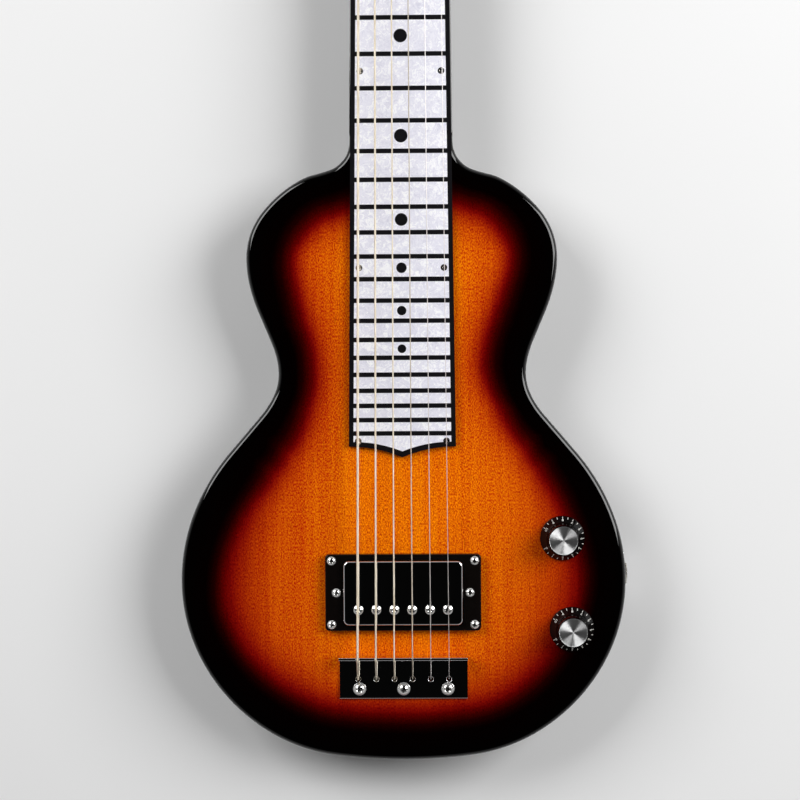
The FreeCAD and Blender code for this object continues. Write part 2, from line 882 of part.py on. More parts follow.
def bar_magnet():
    return slab(0, pickup_y, keeper_half, magnet_half_width, 0.3, cover_bottom + sheet, bobbin_low)


def pole_screws():
    # Fillister heads that stand a little proud of the can.
    length = cover_top - cover_bottom + pole_extra
    return Part.makeCompound([
        dome_screw(x, y, cover_top, pole_head, pole_dome, pole_shank, length)
        for x, y in pole_places()])


def height_screw(side):
    return dome_screw(side * height_screw_x, pickup_y, top + ring_height, ring_screw_head,
                      ring_screw_dome, height_screw_shank, height_screw_length)


def height_sleeves():
    # Rubber sleeves that press the pickup legs down from the ring.
    sleeves = []
    for side in (-1, 1):
        outer = upright(sleeve_wall_radius, side * height_screw_x, pickup_y, leg_top, top)
        hole = upright(height_screw_shank + 0.15, side * height_screw_x, pickup_y, leg_top, top)
        sleeves.append(outer.cut(hole))
    return Part.makeCompound(sleeves)


def control_places():
    return [(volume_x, volume_y), (tone_x, tone_y)]


def knob(x, y):
    # Flared skirt for the dial, a tapered barrel and a recess for the metal cap.
    deck = pot_nut_height + washer_height + 0.8
    bore = shaft_radius + shaft_clearance
    inside = shaft_rise - knob_gap + 0.5
    points = [(bore, deck), (8.4, deck), (10.8, 0), (knob_skirt, 0), (knob_skirt, 1.4),
              (knob_barrel_low, 6.4), (knob_barrel_high, knob_height), (knob_cap + 0.1, knob_height),
              (knob_cap + 0.1, knob_height - 0.9), (0, knob_height - 0.9), (0, inside),
              (bore, inside)]
    radii = [0, 0, 0.3, 0.4, 0.6, 2.0, 0.2, 0, 0, 0, 0, 0]
    return turned(points, radii, x, y, top + knob_gap)


def knob_cap_disc(x, y):
    # Thin metal disc, dished towards its middle.
    rise = knob_height - 0.9
    points = [(0, rise), (knob_cap, rise), (knob_cap, rise + 0.7), (0, rise + 0.3)]
    return turned(points, [0] * 4, x, y, top + knob_gap)


def pot_shaft(x, y):
    shaft = upright(shaft_radius, x, y, ceiling - pot_height + 1.5, top + shaft_rise)
    slot = box(x - shaft_radius, x + shaft_radius, y - 0.4, y + 0.4, top + shaft_rise - 6,
               top + shaft_rise + 1)
    return shaft.cut(slot)


def pot_cases():
    cases = []
    for (x, y), side in zip(control_places(), (-1, 1)):
        case = upright(pot_radius, x, y, ceiling - pot_height, ceiling)
        neck = upright(bushing_radius, x, y, ceiling - 1, top + washer_height + pot_nut_height + 0.6)
        lugs = []
        for step in (-5, 0, 5):
            y0 = y + side * (pot_radius - 2.5)
            y1 = y + side * (pot_radius + lug_length)
            lugs.append(box(x + step - 1.5, x + step + 1.5, min(y0, y1), max(y0, y1),
                            ceiling - 5.5, ceiling - 4.7))
        bore = upright(shaft_radius + shaft_clearance, x, y, ceiling - pot_height + 1, top + 20)
        cases.append(joined([case, neck] + lugs).cut(bore))
    return Part.makeCompound(cases)


def pot_nuts():
    pieces = []
    for x, y in control_places():
        washer = upright(washer_radius, x, y, top, top + washer_height)
        pieces.append(washer.cut(upright(bushing_radius, x, y, top - 1, top + 2)))
        nut_piece = hexagon_nut(pot_nut_flats, bushing_radius, pot_nut_height)
        nut_piece.translate(Vector(x, y, top + washer_height))
        pieces.append(nut_piece)
    return Part.makeCompound(pieces)


def lug_point(control, step, end=True):
    x, y = control_places()[control]
    side = (-1, 1)[control]
    reach = pot_radius + lug_length - (1.2 if end else 0)
    return Vector(x + step, y + side * reach, ceiling - 5.5)


def tone_capacitor():
    # A small disc capacitor between the tone lug and its case.
    spot = lug_point(1, -5)
    disc = rod(3.6, spot + Vector(-4.5, 0, -6.0), spot + Vector(-2.2, 0, -6.0))
    lead = upright(0.4, spot.x - 3.2, spot.y, spot.z - 3.0, spot.z - 0.7)
    foot = rod(0.4, Vector(spot.x - 3.2, spot.y, spot.z - 0.4), Vector(spot.x, spot.y, spot.z - 0.4))
    return joined([disc, lead, foot])


def jack_plate():
    half_y, half_z = jack_plate_length / 2, jack_plate_width / 2
    corners = [(-1, -1), (1, -1), (1, 1), (-1, 1)]
    points = [Vector(jack_face, jack_y + half_y * a, jack_z + half_z * b) for a, b in corners]
    plate = Part.Face(rounded_wire(points, [3.0] * 4)).extrude(X * jack_plate_thickness)
    cuts = [rod(jack_thread + 0.1, Vector(jack_face - 1, jack_y, jack_z),
                Vector(jack_face + 5, jack_y, jack_z))]
    for y, z in jack_screw_places():
        cuts.append(side_screw(y, z, jack_face + jack_plate_thickness, 4.0))
    return plate.cut(cuts)


def jack_screw_places():
    y = jack_plate_length / 2 - jack_screw_inset
    z = jack_plate_width / 2 - jack_screw_inset
    return [(jack_y + a * y, jack_z + b * z) for a in (-1, 1) for b in (-1, 1)]


def side_screw(y, z, face, length):
    screw = countersunk(0, 0, 0, jack_screw_head, jack_screw_shank, length)
    screw.rotate(Vector(0, 0, 0), Y, 90)
    screw.translate(Vector(face, y, z))
    return screw


def jack_plate_screws():
    face = jack_face + jack_plate_thickness
    return Part.makeCompound([side_screw(y, z, face, jack_screw_length)
                              for y, z in jack_screw_places()])


def jack_axis(x):
    return Vector(x, jack_y, jack_z)


def output_jack():
    # Threaded sleeve, inner flange, wafer stack and two contact leaves.
    outer = jack_face + jack_plate_thickness + jack_nut_thickness + 0.3
    inner = outer - jack_length
    width = jack_leaf_half
    parts = [rod(jack_thread, jack_axis(inner), jack_axis(outer)),
             rod(jack_flange, jack_axis(jack_face - 1.2), jack_axis(jack_face)),
             rod(jack_wafer, jack_axis(inner), jack_axis(inner + 2.4))]
    for side, reach in ((1, 13.5), (-1, 9.0)):
        y0 = jack_y + side * 6.2
        points = [Vector(inner + 1, y0, jack_z - width),
                  Vector(inner + 1, y0 + side * 0.6, jack_z - width),
                  Vector(inner - reach + 3, y0 + side * 0.6, jack_z - width),
                  Vector(inner - reach, y0 - side * 1.6, jack_z - width),
                  Vector(inner - reach + 0.4, y0 - side * 2.1, jack_z - width),
                  Vector(inner - reach + 3.2, y0, jack_z - width)]
        parts.append(Part.Face(Part.makePolygon(points + points[:1])).extrude(Z * (2 * width)))
    for side in (-1, 1):
        parts.append(box(inner - 6, inner + 1, jack_y - 1.2, jack_y + 1.2,
                         jack_z + side * 6.6 - 0.3, jack_z + side * 6.6 + 0.3))
    bore = rod(jack_bore, jack_axis(inner - 1), jack_axis(outer + 1))
    return joined(parts).cut(bore)


def jack_nut():
    piece = hexagon_nut(jack_nut_flats, jack_thread, jack_nut_thickness)
    piece.rotate(Vector(0, 0, 0), Y, 90)
    piece.translate(Vector(jack_face + jack_plate_thickness, jack_y, jack_z))
    return piece


def cover_screw_places():
    # One screw in the lip beyond each end, and one each side of the middle.
    a, b = [Vector(x, y, 0) for x, y in control_places()]
    along = (b - a).normalize()
    side = Vector(-along.y, along.x, 0)
    reach = cavity_radius + cover_lip * 0.5 + 0.2
    middle = (a + b) * 0.5
    spots = [a - along * reach, b + along * reach, middle + side * reach, middle - side * reach]
    return [(spot.x, spot.y) for spot in spots]


def back_screw(x, y, z, head, shank, length):
    screw = countersunk(0, 0, 0, head, shank, length)
    screw.rotate(Vector(0, 0, 0), X, 180)
    screw.translate(Vector(x, y, z))
    return screw


def control_cover():
    plate = capsule(control_places(), cavity_radius + cover_lip - 0.2, cover_recess,
                    cover_recess + cover_plate)
    return plate.cut([back_screw(x, y, cover_recess, cover_screw_head, cover_screw_shank, 6.0)
                      for x, y in cover_screw_places()])


def cover_screws():
    return Part.makeCompound([
        back_screw(x, y, cover_recess, cover_screw_head, cover_screw_shank, cover_screw_length)
        for x, y in cover_screw_places()])


def hookup_wires():
    volume_in, volume_out = lug_point(0, -5), lug_point(0, 0)
    tone_in = lug_point(1, 0)
    drop = Vector(0, 0, -wire_radius)
    lead_z = top - channel_depth
    exit_x = ring_half_x + 14
    lead = [Vector(cover_half_x - 6, pickup_y, lead_z - 2.5),
            Vector(cover_half_x, pickup_y, lead_z - 0.4),
            Vector(exit_x - 12, pickup_y, lead_z), Vector(exit_x, pickup_y, lead_z + 0.5),
            Vector(volume_in.x - 8, pickup_y + 2.0, lead_z), volume_in + drop + Vector(0, -3.5, -0.5),
            volume_in + drop]
    link = [volume_out + drop, volume_out + drop + Vector(0.4, -4.0, -0.4),
            (volume_out + tone_in) * 0.5 + drop + Vector(-1.0, 0, 0.3),
            tone_in + drop + Vector(0, 4.0, -0.4), tone_in + drop]
    return Part.makeCompound([cord(lead), cord(link)])


def tuner_outline(post_y):
    # Plate with rounded ends, drawn round its post and worm.
    centre = post_y + (tuner_plate_front - tuner_plate_back) / 2
    half = (tuner_plate_front + tuner_plate_back) / 2
    return centre, half


def tuner_screw_places(post_y):
    return [(post_x, post_y - tuner_plate_back + tuner_screw_inset),
            (post_x, post_y + tuner_plate_front - tuner_screw_inset)]


def worm_ends():
    half = worm_turns * thread_pitch / 2
    return post_x - half, post_x + half


def tuner_plate_piece(post_y):
    centre, half = tuner_outline(post_y)
    plate = slab(post_x, centre, tuner_plate_half, half, 3.0, plate_bottom, head_back)
    axis_y = post_y - worm_offset
    left, right = worm_ends()
    lugs = []
    for x in (left - lug_gap - lug_thickness, right + lug_gap):
        lug = box(x, x + lug_thickness, axis_y - lug_half, axis_y + lug_half, worm_z, plate_bottom)
        foot = rod(lug_half, Vector(x, axis_y, worm_z), Vector(x + lug_thickness, axis_y, worm_z))
        lugs.append(joined([lug, foot]))
    solid = joined([plate] + lugs)
    cuts = [upright(sleeve_bore, post_x, post_y, plate_bottom - 1, head_back + 1),
            rod(lug_bore, Vector(left - 6, axis_y, worm_z), Vector(right + 6, axis_y, worm_z))]
    for x, y in tuner_screw_places(post_y):
        cuts.append(upright(tuner_screw_shank + 0.1, x, y, plate_bottom - 1, head_back + 1))
    return solid.cut(cuts)


def both_sides(pieces):
    return Part.makeCompound(pieces + [mirrored(piece) for piece in pieces])


def tuner_plates():
    return both_sides([tuner_plate_piece(y) for y in post_places])


def tuner_screws():
    pieces = []
    for post_y in post_places:
        for x, y in tuner_screw_places(post_y):
            screw = dome_screw(0, 0, 0, tuner_screw_head, 1.1, tuner_screw_shank,
                               tuner_screw_length)
            screw.rotate(Vector(0, 0, 0), X, 180)
            screw.translate(Vector(x, y, plate_bottom))
            pieces.append(screw)
    return both_sides(pieces)


def tuner_bushings():
    points = [(sleeve_bore, -sleeve_depth), (sleeve_radius, -sleeve_depth), (sleeve_radius, 0),
              (sleeve_flange, 0), (sleeve_flange, sleeve_flange_height),
              (sleeve_bore, sleeve_flange_height)]
    radii = [0, 0, 0, 0, 0.8, 0]
    return both_sides([turned(points, radii, post_x, y, head_top) for y in post_places])


def worm():
    # One start thread about +X as a faceted solid: a section with a flat crest, turned as it
    # advances. The gap faces +Y in the middle, where a wheel tooth stands.
    bands = 8
    crest = math.pi * tooth_share * 0.62
    foot = math.pi * tooth_share * 1.45
    angles = [-crest, crest] + [foot + (2 * math.pi - 2 * foot) * k / 4 for k in range(5)]
    radii = [worm_tip_radius] * 2 + [worm_root_radius] * 5
    left, right = worm_ends()
    steps = worm_turns * bands
    rings = []
    for i in range(steps + 1):
        x = left + (right - left) * i / steps
        turn = math.pi + 2 * math.pi * (i - steps / 2) / bands
        rings.append([Vector(x, r * math.cos(a + turn), r * math.sin(a + turn))
                      for a, r in zip(angles, radii)])
    sides = len(angles)
    faces = []
    for near, far in zip(rings, rings[1:]):
        for k in range(sides):
            a, b, c, d = near[k], near[(k + 1) % sides], far[(k + 1) % sides], far[k]
            for triangle in ((a, b, c), (a, c, d)):
                faces.append(Part.Face(Part.makePolygon(list(triangle) + [triangle[0]])))
    for ring in (rings[0], rings[-1]):
        faces.append(Part.Face(Part.makePolygon(ring + ring[:1])))
    solid = Part.makeSolid(Part.makeShell(faces))
    if solid.Volume < 0:
        solid.reverse()
    return solid


def button():
    # Oval grip with a round collar on the shaft.
    start = post_x + button_start
    middle = start + button_length / 2 + 1.5
    grip = Part.Face(Part.Wire(Part.Ellipse(Vector(middle, 0, 0), button_length / 2 - 1.0,
                                            button_half).toShape()))
    grip.translate(Vector(0, 0, -button_thickness / 2))
    grip = grip.extrude(Z * button_thickness)
    rims = [edge for edge in grip.Edges if edge.BoundBox.ZLength < 0.01]
    grip = grip.makeFillet(button_thickness * 0.36, rims)
    collar = Part.makeCone(3.4, 2.6, 6.0, Vector(start, 0, 0), X)
    return joined([grip, collar])


def tuner_shaft(post_y):
    left, right = worm_ends()
    bar = rod(worm_shaft, Vector(left - lug_gap - lug_thickness - 0.8, 0, 0), Vector(left, 0, 0))
    stem = rod(worm_shaft, Vector(right, 0, 0), Vector(post_x + button_start + 0.5, 0, 0))
    solid = joined([worm(), bar, stem, button()])
    solid.translate(Vector(0, post_y - worm_offset, worm_z))
    return solid


def wheel(post_y):
    # Straight teeth with flat flanks.
    pitch_angle = 2 * math.pi / wheel_teeth
    root = wheel_radius - 1.3 * module
    tip = wheel_radius + module
    half_root = pitch_angle * 0.29
    half_tip = pitch_angle * 0.11
    points = []
    for i in range(wheel_teeth):
        middle = -math.pi / 2 + i * pitch_angle
        for radius, offset in ((root, -half_root), (tip, -half_tip), (tip, half_tip),
                               (root, half_root)):
            angle = middle + offset
            points.append(Vector(radius * math.cos(angle), radius * math.sin(angle), 0))
    blank_wheel = Part.Face(Part.makePolygon(points + points[:1])).extrude(Z * wheel_width)
    blank_wheel.translate(Vector(post_x, post_y, wheel_top - wheel_width))
    return blank_wheel.cut(upright(wheel_bore, post_x, post_y, wheel_top - 10, wheel_top + 1))


def post(post_y, thickness):
    top_z = head_top + post_rise
    hole_z = head_top + post_hole_height
    low = wheel_top - wheel_width
    points = [(0, low), (wheel_bore, low), (wheel_bore, wheel_top), (post_radius, wheel_top),
              (post_radius, head_top + post_waist_low - 0.8), (post_waist, head_top + post_waist_low),
              (post_waist, hole_z + 2.2), (post_radius, hole_z + 3.0), (post_radius, top_z),
              (0, top_z)]
    radii = [0, 0, 0, 0, 0, 0, 0, 0, 0.7, 0]
    stem = turned(points, radii, post_x, post_y)
    across = Vector(post_hole_radius + 5, 0, 0)
    centre = Vector(post_x, post_y, hole_z)
    stem = stem.cut(rod(post_hole_radius, centre - across, centre + across))
    screw = dome_screw(0, 0, 0, wheel_screw_head, 1.2, wheel_screw_shank, wheel_screw_length)
    screw.rotate(Vector(0, 0, 0), X, 180)
    screw.translate(Vector(post_x, post_y, low))
    stem = stem.cut(upright(wheel_screw_shank, post_x, post_y, low - 1, low + wheel_screw_length))
    stub = rod(thickness / 2, centre - Vector(post_waist + 1.6, 0, 0),
               centre + Vector(post_waist, 0, 0))
    return [stem, wheel(post_y), screw, stub]


def tuner_post(index):
    side, post_y = post_place(index)
    pieces = Part.makeCompound(post(post_y, string_diameters[index]))
    return mirrored(pieces) if side < 0 else pieces


def tuner_button(index):
    side, post_y = post_place(index)
    shaft = tuner_shaft(post_y)
    return mirrored(shaft) if side < 0 else shaft


def head_veneer():
    reach = head_half + 10
    face = outline_face()
    face.translate(Z * head_wood_top)
    sheet_solid = face.extrude(Z * veneer_thickness)
    front = head_start + ramp_bend * 0.4
    sheet_solid = sheet_solid.common(box(-reach, reach, front, head_end + 10, 0, top))
    holes = [upright(sleeve_radius, side * post_x, y, 0, top) for y in post_places
             for side in (-1, 1)]
    return sheet_solid.cut(holes)


def control_cuts():
    cuts = [capsule(control_places(), cavity_radius, -1, ceiling),
            capsule(control_places(), cavity_radius + cover_lip, -1, cover_recess + cover_plate)]
    for x, y in control_places():
        cuts.append(upright(bushing_radius + bushing_clearance, x, y, ceiling - 1, top + 1))
    lead = top - channel_depth
    cuts.append(rod(wire_channel, Vector(cover_half_x, pickup_y, lead),
                    Vector(volume_x, pickup_y, lead)))
    for x, y in cover_screw_places():
        cuts.append(upright(cover_screw_shank, x, y, 0, cover_screw_length + 2))
    return cuts


def jack_cuts():
    half_y, half_z = jack_plate_length / 2 + 0.3, jack_plate_width / 2 + 0.3
    corners = [(-1, -1), (1, -1), (1, 1), (-1, 1)]
    points = [Vector(jack_face, jack_y + half_y * a, jack_z + half_z * b) for a, b in corners]
    flat = Part.Face(rounded_wire(points, [3.3] * 4)).extrude(X * 10)
    inner = (volume_x + tone_x) / 2
    cuts = [flat, rod(jack_pocket, Vector(inner, jack_y, jack_z), Vector(jack_face, jack_y, jack_z))]
    for y, z in jack_screw_places():
        depth = jack_face + jack_plate_thickness - jack_screw_length - 0.5
        cuts.append(rod(jack_screw_shank, Vector(depth, y, z), Vector(jack_face + 1, y, z)))
    return cuts


def pickup_cuts():
    cuts = [slab(0, pickup_y, cover_half_x + pocket_gap, cover_half_y + pocket_gap, 4.0,
                 top - rout_depth, top + 1),
            slab(0, pickup_y, leg_end + 0.9, leg_half_width + 1.2, 3.0, top - leg_rout_depth,
                 top + 1)]
    for x in (-1, 1):
        for y in (-1, 1):
            cuts.append(upright(ring_screw_shank, x * ring_screw_x, pickup_y + y * ring_screw_y,
                                top + ring_height - ring_screw_length - 0.5, top + 1))
    return cuts


def string_cuts():
    cuts = []
    for bridge_x, nut_x, height in string_places():
        cuts.append(upright(string_hole_radius + 0.3, bridge_x, string_hole_y, -1, top + 1))
        cuts.append(upright(ferrule_radius, bridge_x, string_hole_y, -1,
                            ferrule_recess + ferrule_length))
        cuts.append(upright(ferrule_flange, bridge_x, string_hole_y, -1, ferrule_recess + 1.0))
    for side in (-1, 0, 1):
        cuts.append(upright(bridge_screw_shank, side * bridge_screw_spacing, bridge_screw_y,
                            top + plate_thickness - bridge_screw_length - 0.5, top + 1))
    for x, y in board_screw_places():
        cuts.append(upright(board_screw_shank, x, y, board_top - board_screw_length - 0.5, top + 1))
    return cuts


def tuner_cuts():
    cuts = []
    for post_y in post_places:
        for side in (-1, 1):
            x = side * post_x
            cuts.append(upright(post_radius + 0.5, x, post_y, 0, top))
            cuts.append(upright(sleeve_radius, x, post_y, head_top - sleeve_depth, top))
            for sx, sy in tuner_screw_places(post_y):
                cuts.append(upright(tuner_screw_shank, side * sx, sy, head_back - 1,
                                    plate_bottom + tuner_screw_length + 0.3))
    return cuts


def body_neck():
    return blank().cut(control_cuts() + jack_cuts() + pickup_cuts() + string_cuts() + tuner_cuts())


def build():
    shapes = {
        "body_neck": body_neck(),
        "head_veneer": head_veneer(),
        "nut": nut(),
        "fretboard": fretboard(),
        "pearl_panels": pearl_panels(),
        "fretboard_screws": fretboard_screws(),
        "bridge_plate": bridge_plate(),
        "bridge_screws": bridge_screws(),
        "string_ferrules": string_ferrules(),
        "pickup_ring": pickup_ring(),
        "ring_screws": ring_screws(),
        "pickup_cover": pickup_cover(),
        "pickup_baseplate": pickup_baseplate(),
        "coil_bobbins": coil_bobbins(),
        "coil_windings": coil_windings(),
        "bar_magnet": bar_magnet(),
        "slug_poles": slug_poles(),
        "keeper_bar": keeper_bar(),
        "pole_screws": pole_screws(),
        "height_screw_bass": height_screw(-1),
        "height_screw_treble": height_screw(1),
        "height_sleeves": height_sleeves(),
        "volume_knob": knob(volume_x, volume_y),
        "volume_knob_cap": knob_cap_disc(volume_x, volume_y),
        "volume_pot_shaft": pot_shaft(volume_x, volume_y),
        "tone_knob": knob(tone_x, tone_y),
        "tone_knob_cap": knob_cap_disc(tone_x, tone_y),
        "tone_pot_shaft": pot_shaft(tone_x, tone_y),
        "pot_cases": pot_cases(),
        "pot_nuts": pot_nuts(),
        "tone_capacitor": tone_capacitor(),
        "hookup_wires": hookup_wires(),
        "jack_plate": jack_plate(),
        "jack_plate_screws": jack_plate_screws(),
        "output_jack": output_jack(),
        "jack_nut": jack_nut(),
        "control_cover": control_cover(),
        "cover_screws": cover_screws(),
        "tuner_plates": tuner_plates(),
        "tuner_bushings": tuner_bushings(),
        "tuner_screws": tuner_screws(),
    }
    for index in range(6):
        shapes["string_%d" % (index + 1)] = string(index)
        shapes["tuner_button_%d" % (index + 1)] = tuner_button(index)
        shapes["tuner_post_%d" % (index + 1)] = tuner_post(index)
    return shapes


os.makedirs("parts", exist_ok=True)
for name, shape in build().items():
    shape.exportStep("parts/%s.step" % name)
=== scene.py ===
import json
import math
import bmesh
import bpy
from mathutils import Matrix, Vector
from mathutils.kdtree import KDTree

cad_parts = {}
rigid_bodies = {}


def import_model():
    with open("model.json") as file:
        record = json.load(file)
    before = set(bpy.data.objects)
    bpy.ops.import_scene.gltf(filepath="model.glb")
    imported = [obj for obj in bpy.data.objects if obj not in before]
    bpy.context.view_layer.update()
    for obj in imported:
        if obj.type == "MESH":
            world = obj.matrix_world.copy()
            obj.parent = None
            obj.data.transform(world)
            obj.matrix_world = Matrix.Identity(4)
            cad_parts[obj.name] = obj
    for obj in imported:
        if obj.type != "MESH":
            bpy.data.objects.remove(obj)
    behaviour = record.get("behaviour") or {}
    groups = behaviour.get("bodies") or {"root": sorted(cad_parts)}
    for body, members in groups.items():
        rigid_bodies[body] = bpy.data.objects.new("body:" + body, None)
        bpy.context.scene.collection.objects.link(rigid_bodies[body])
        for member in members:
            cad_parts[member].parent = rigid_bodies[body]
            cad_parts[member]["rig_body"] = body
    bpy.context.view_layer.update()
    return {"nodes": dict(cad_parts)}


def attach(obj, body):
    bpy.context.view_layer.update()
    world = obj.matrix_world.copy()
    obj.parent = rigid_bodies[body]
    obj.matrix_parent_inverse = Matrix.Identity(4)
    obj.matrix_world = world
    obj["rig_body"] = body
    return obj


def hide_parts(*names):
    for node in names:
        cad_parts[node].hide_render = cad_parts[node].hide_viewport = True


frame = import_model()
nodes = frame["nodes"]
mm = 0.001
print("frame loaded:", len(nodes), "nodes")


# Shader maths: a socket that takes part in plain expressions

class Signal:
    def __init__(self, finish, socket):
        self.finish = finish
        self.socket = socket

    def calc(self, operation, first, second=None):
        values = {0: first} if second is None else {0: first, 1: second}
        return self.finish.add("Math", {"operation": operation}, values)

    def __add__(self, other):
        return self.calc("ADD", self, other)

    def __radd__(self, other):
        return self.calc("ADD", other, self)

    def __sub__(self, other):
        return self.calc("SUBTRACT", self, other)

    def __rsub__(self, other):
        return self.calc("SUBTRACT", other, self)

    def __mul__(self, other):
        return self.calc("MULTIPLY", self, other)

    def __rmul__(self, other):
        return self.calc("MULTIPLY", other, self)

    def __truediv__(self, other):
        return self.calc("DIVIDE", self, other)

    def __rtruediv__(self, other):
        return self.calc("DIVIDE", other, self)

    def sine(self):
        return self.calc("SINE", self)

    def atMost(self, other):
        return self.calc("MINIMUM", self, other)

    def atLeast(self, other):
        return self.calc("MAXIMUM", self, other)

    def part(self, letter):
        split = self.finish.node("SeparateXYZ", {}, {0: self})
        return Signal(self.finish, split.outputs["XYZ".index(letter)])


class Finish:
    def __init__(self, holder):
        self.holder = holder
        holder.use_nodes = True
        self.tree = holder.node_tree
        self.tree.nodes.clear()

    def node(self, kind, settings=None, values=None):
        made = self.tree.nodes.new("ShaderNode" + kind)
        for key, value in (settings or {}).items():
            if key == "stops":
                ramp = made.color_ramp
                while len(ramp.elements) > 1:
                    ramp.elements.remove(ramp.elements[-1])
                ramp.elements[0].position = value[0][0]
                ramp.elements[0].color = (*value[0][1], 1.0)
                for place, colour in value[1:]:
                    ramp.elements.new(place).color = (*colour, 1.0)
            else:
                setattr(made, key, value)
        for key, value in (values or {}).items():
            socket = made.inputs[key]
            if isinstance(value, Signal):
                self.tree.links.new(value.socket, socket)
            elif isinstance(value, (tuple, list, Vector)) and socket.type == "RGBA":
                socket.default_value = (*value, 1.0)
            else:
                socket.default_value = value
        return made

    def add(self, kind, settings=None, values=None, out=0):
        return Signal(self, self.node(kind, settings, values).outputs[out])

    def place(self, scale=(1, 1, 1)):
        where = self.add("TexCoord", {}, {}, "Object")
        return self.add("Mapping", {"vector_type": "POINT"}, {"Vector": where, "Scale": scale})

    def noise(self, where, scale, detail=4.0, rough=0.5, warp=0.0):
        return self.add("TexNoise", {"noise_dimensions": "3D"},
                        {"Vector": where, "Scale": scale, "Detail": detail, "Roughness": rough,
                         "Distortion": warp})

    def ramp(self, factor, stops):
        return self.add("ValToRGB", {"stops": stops}, {0: factor})

    def mix(self, factor, first, second, mode="MIX"):
        return self.add("Mix", {"data_type": "RGBA", "blend_type": mode},
                        {0: factor, 6: first, 7: second}, 2)

    def bump(self, height, strength, distance):
        return self.add("Bump", {}, {"Height": height, "Strength": strength, "Distance": distance})

    def surface(self, values):
        shader = self.node("BsdfPrincipled", {}, values)
        ending = self.node("OutputMaterial")
        self.tree.links.new(shader.outputs[0], ending.inputs["Surface"])
        return self.holder


def srgb(red, green, blue):
    # Linear colour from the usual 0 to 255 one
    return tuple(((c / 255 + 0.055) / 1.055) ** 2.4 if c > 10 else c / 3295
                 for c in (red, green, blue))


def grey(level):
    return (level, level, level)


# Mesh helpers

def begin():
    return bmesh.new()


def asMesh(bm, name):
    mesh = bpy.data.meshes.new(name)
    bm.to_mesh(mesh)
    bm.free()
    return mesh


def scratch(bm, name):
    piece = bpy.data.objects.new(name, asMesh(bm, name))
    bpy.context.scene.collection.objects.link(piece)
    return piece


def settle(bm, name, material, body, stands, sharp=32.0):
    # Closes a piece: doubles merged, normals out, smooth but for its sharp edges
    bmesh.ops.remove_doubles(bm, verts=bm.verts, dist=1e-7)
    bmesh.ops.recalc_face_normals(bm, faces=bm.faces)
    piece = scratch(bm, name)
    mesh = piece.data
    mesh.shade_smooth()
    mesh.set_sharp_from_angle(angle=math.radians(sharp))
    mesh.materials.append(material)
    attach(piece, body)
    if stands:
        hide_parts(*stands)
    return piece


def evenNormals(piece):
    # Wide flats keep their own direction next to rounded edges
    helper = piece.modifiers.new("even", "WEIGHTED_NORMAL")
    helper.keep_sharp = True
    helper.weight = 100
    applyAll(piece)


def applyAll(piece):
    bpy.context.view_layer.update()
    ready = piece.evaluated_get(bpy.context.evaluated_depsgraph_get())
    mesh = bpy.data.meshes.new_from_object(ready)
    old = piece.data
    piece.modifiers.clear()
    piece.data = mesh
    mesh.name = old.name
    bpy.data.meshes.remove(old)


def pull(bm, faces, shift):
    # Extrudes faces and moves the new side by shift
    made = bmesh.ops.extrude_face_region(bm, geom=faces)
    verts = [g for g in made["geom"] if isinstance(g, bmesh.types.BMVert)]
    bmesh.ops.translate(bm, verts=verts, vec=shift)
    return verts


def prism(points, shift, rounding, steps):
    # A closed prism from corner points; corners named in rounding are rounded to their size
    bm = begin()
    verts = [bm.verts.new(p) for p in points]
    bm.faces.new(verts)
    for index, radius in rounding.items():
        bmesh.ops.bevel(bm, geom=[verts[index]], offset=radius, offset_type="OFFSET",
                        segments=steps, profile=0.5, affect="VERTICES", material=-1)
    pull(bm, list(bm.faces), shift)
    bmesh.ops.recalc_face_normals(bm, faces=bm.faces)
    return bm


def plateRound(centre, halfX, halfY, corner, low, high, steps=6):
    # A flat block between two heights with rounded corners
    x, y = centre
    bm = begin()
    verts = [bm.verts.new((x + a * halfX, y + b * halfY, low))
             for a, b in ((-1, -1), (1, -1), (1, 1), (-1, 1))]
    bm.faces.new(verts)
    bmesh.ops.bevel(bm, geom=verts, offset=corner, offset_type="OFFSET", segments=steps,
                    profile=0.5, affect="VERTICES", material=-1)
    pull(bm, list(bm.faces), (0, 0, high - low))
    bmesh.ops.recalc_face_normals(bm, faces=bm.faces)
    return bm


def drum(centre, radius, low, high, segments):
    # An upright cylinder between two heights
    bm = begin()
    middle = Vector((centre[0], centre[1], (low + high) / 2))
    bmesh.ops.create_cone(bm, cap_ends=True, segments=segments, radius1=radius, radius2=radius,
                          depth=high - low, matrix=Matrix.Translation(middle))
    return bm


def lathe(profile, segments, centre=(0, 0, 0)):
    # A closed solid turned from a profile of (radius, height), first and last on the axis
    bm = begin()
    verts = [bm.verts.new((r, 0, z)) for r, z in profile]
    for a, b in zip(verts, verts[1:]):
        bm.edges.new((a, b))
    bmesh.ops.spin(bm, geom=bm.verts[:] + bm.edges[:], cent=(0, 0, 0), axis=(0, 0, 1),
                   angle=2 * math.pi, steps=segments, use_merge=True, use_duplicate=False)
    bmesh.ops.remove_doubles(bm, verts=bm.verts, dist=1e-6)
    bmesh.ops.translate(bm, verts=bm.verts, vec=centre)
    bmesh.ops.recalc_face_normals(bm, faces=bm.faces)
    return bm


def absorb(bm, mesh, matrix):
    # Adds a mesh, moved by a matrix, to a bmesh
    mesh.transform(matrix)
    bm.from_mesh(mesh)
    bpy.data.meshes.remove(mesh)


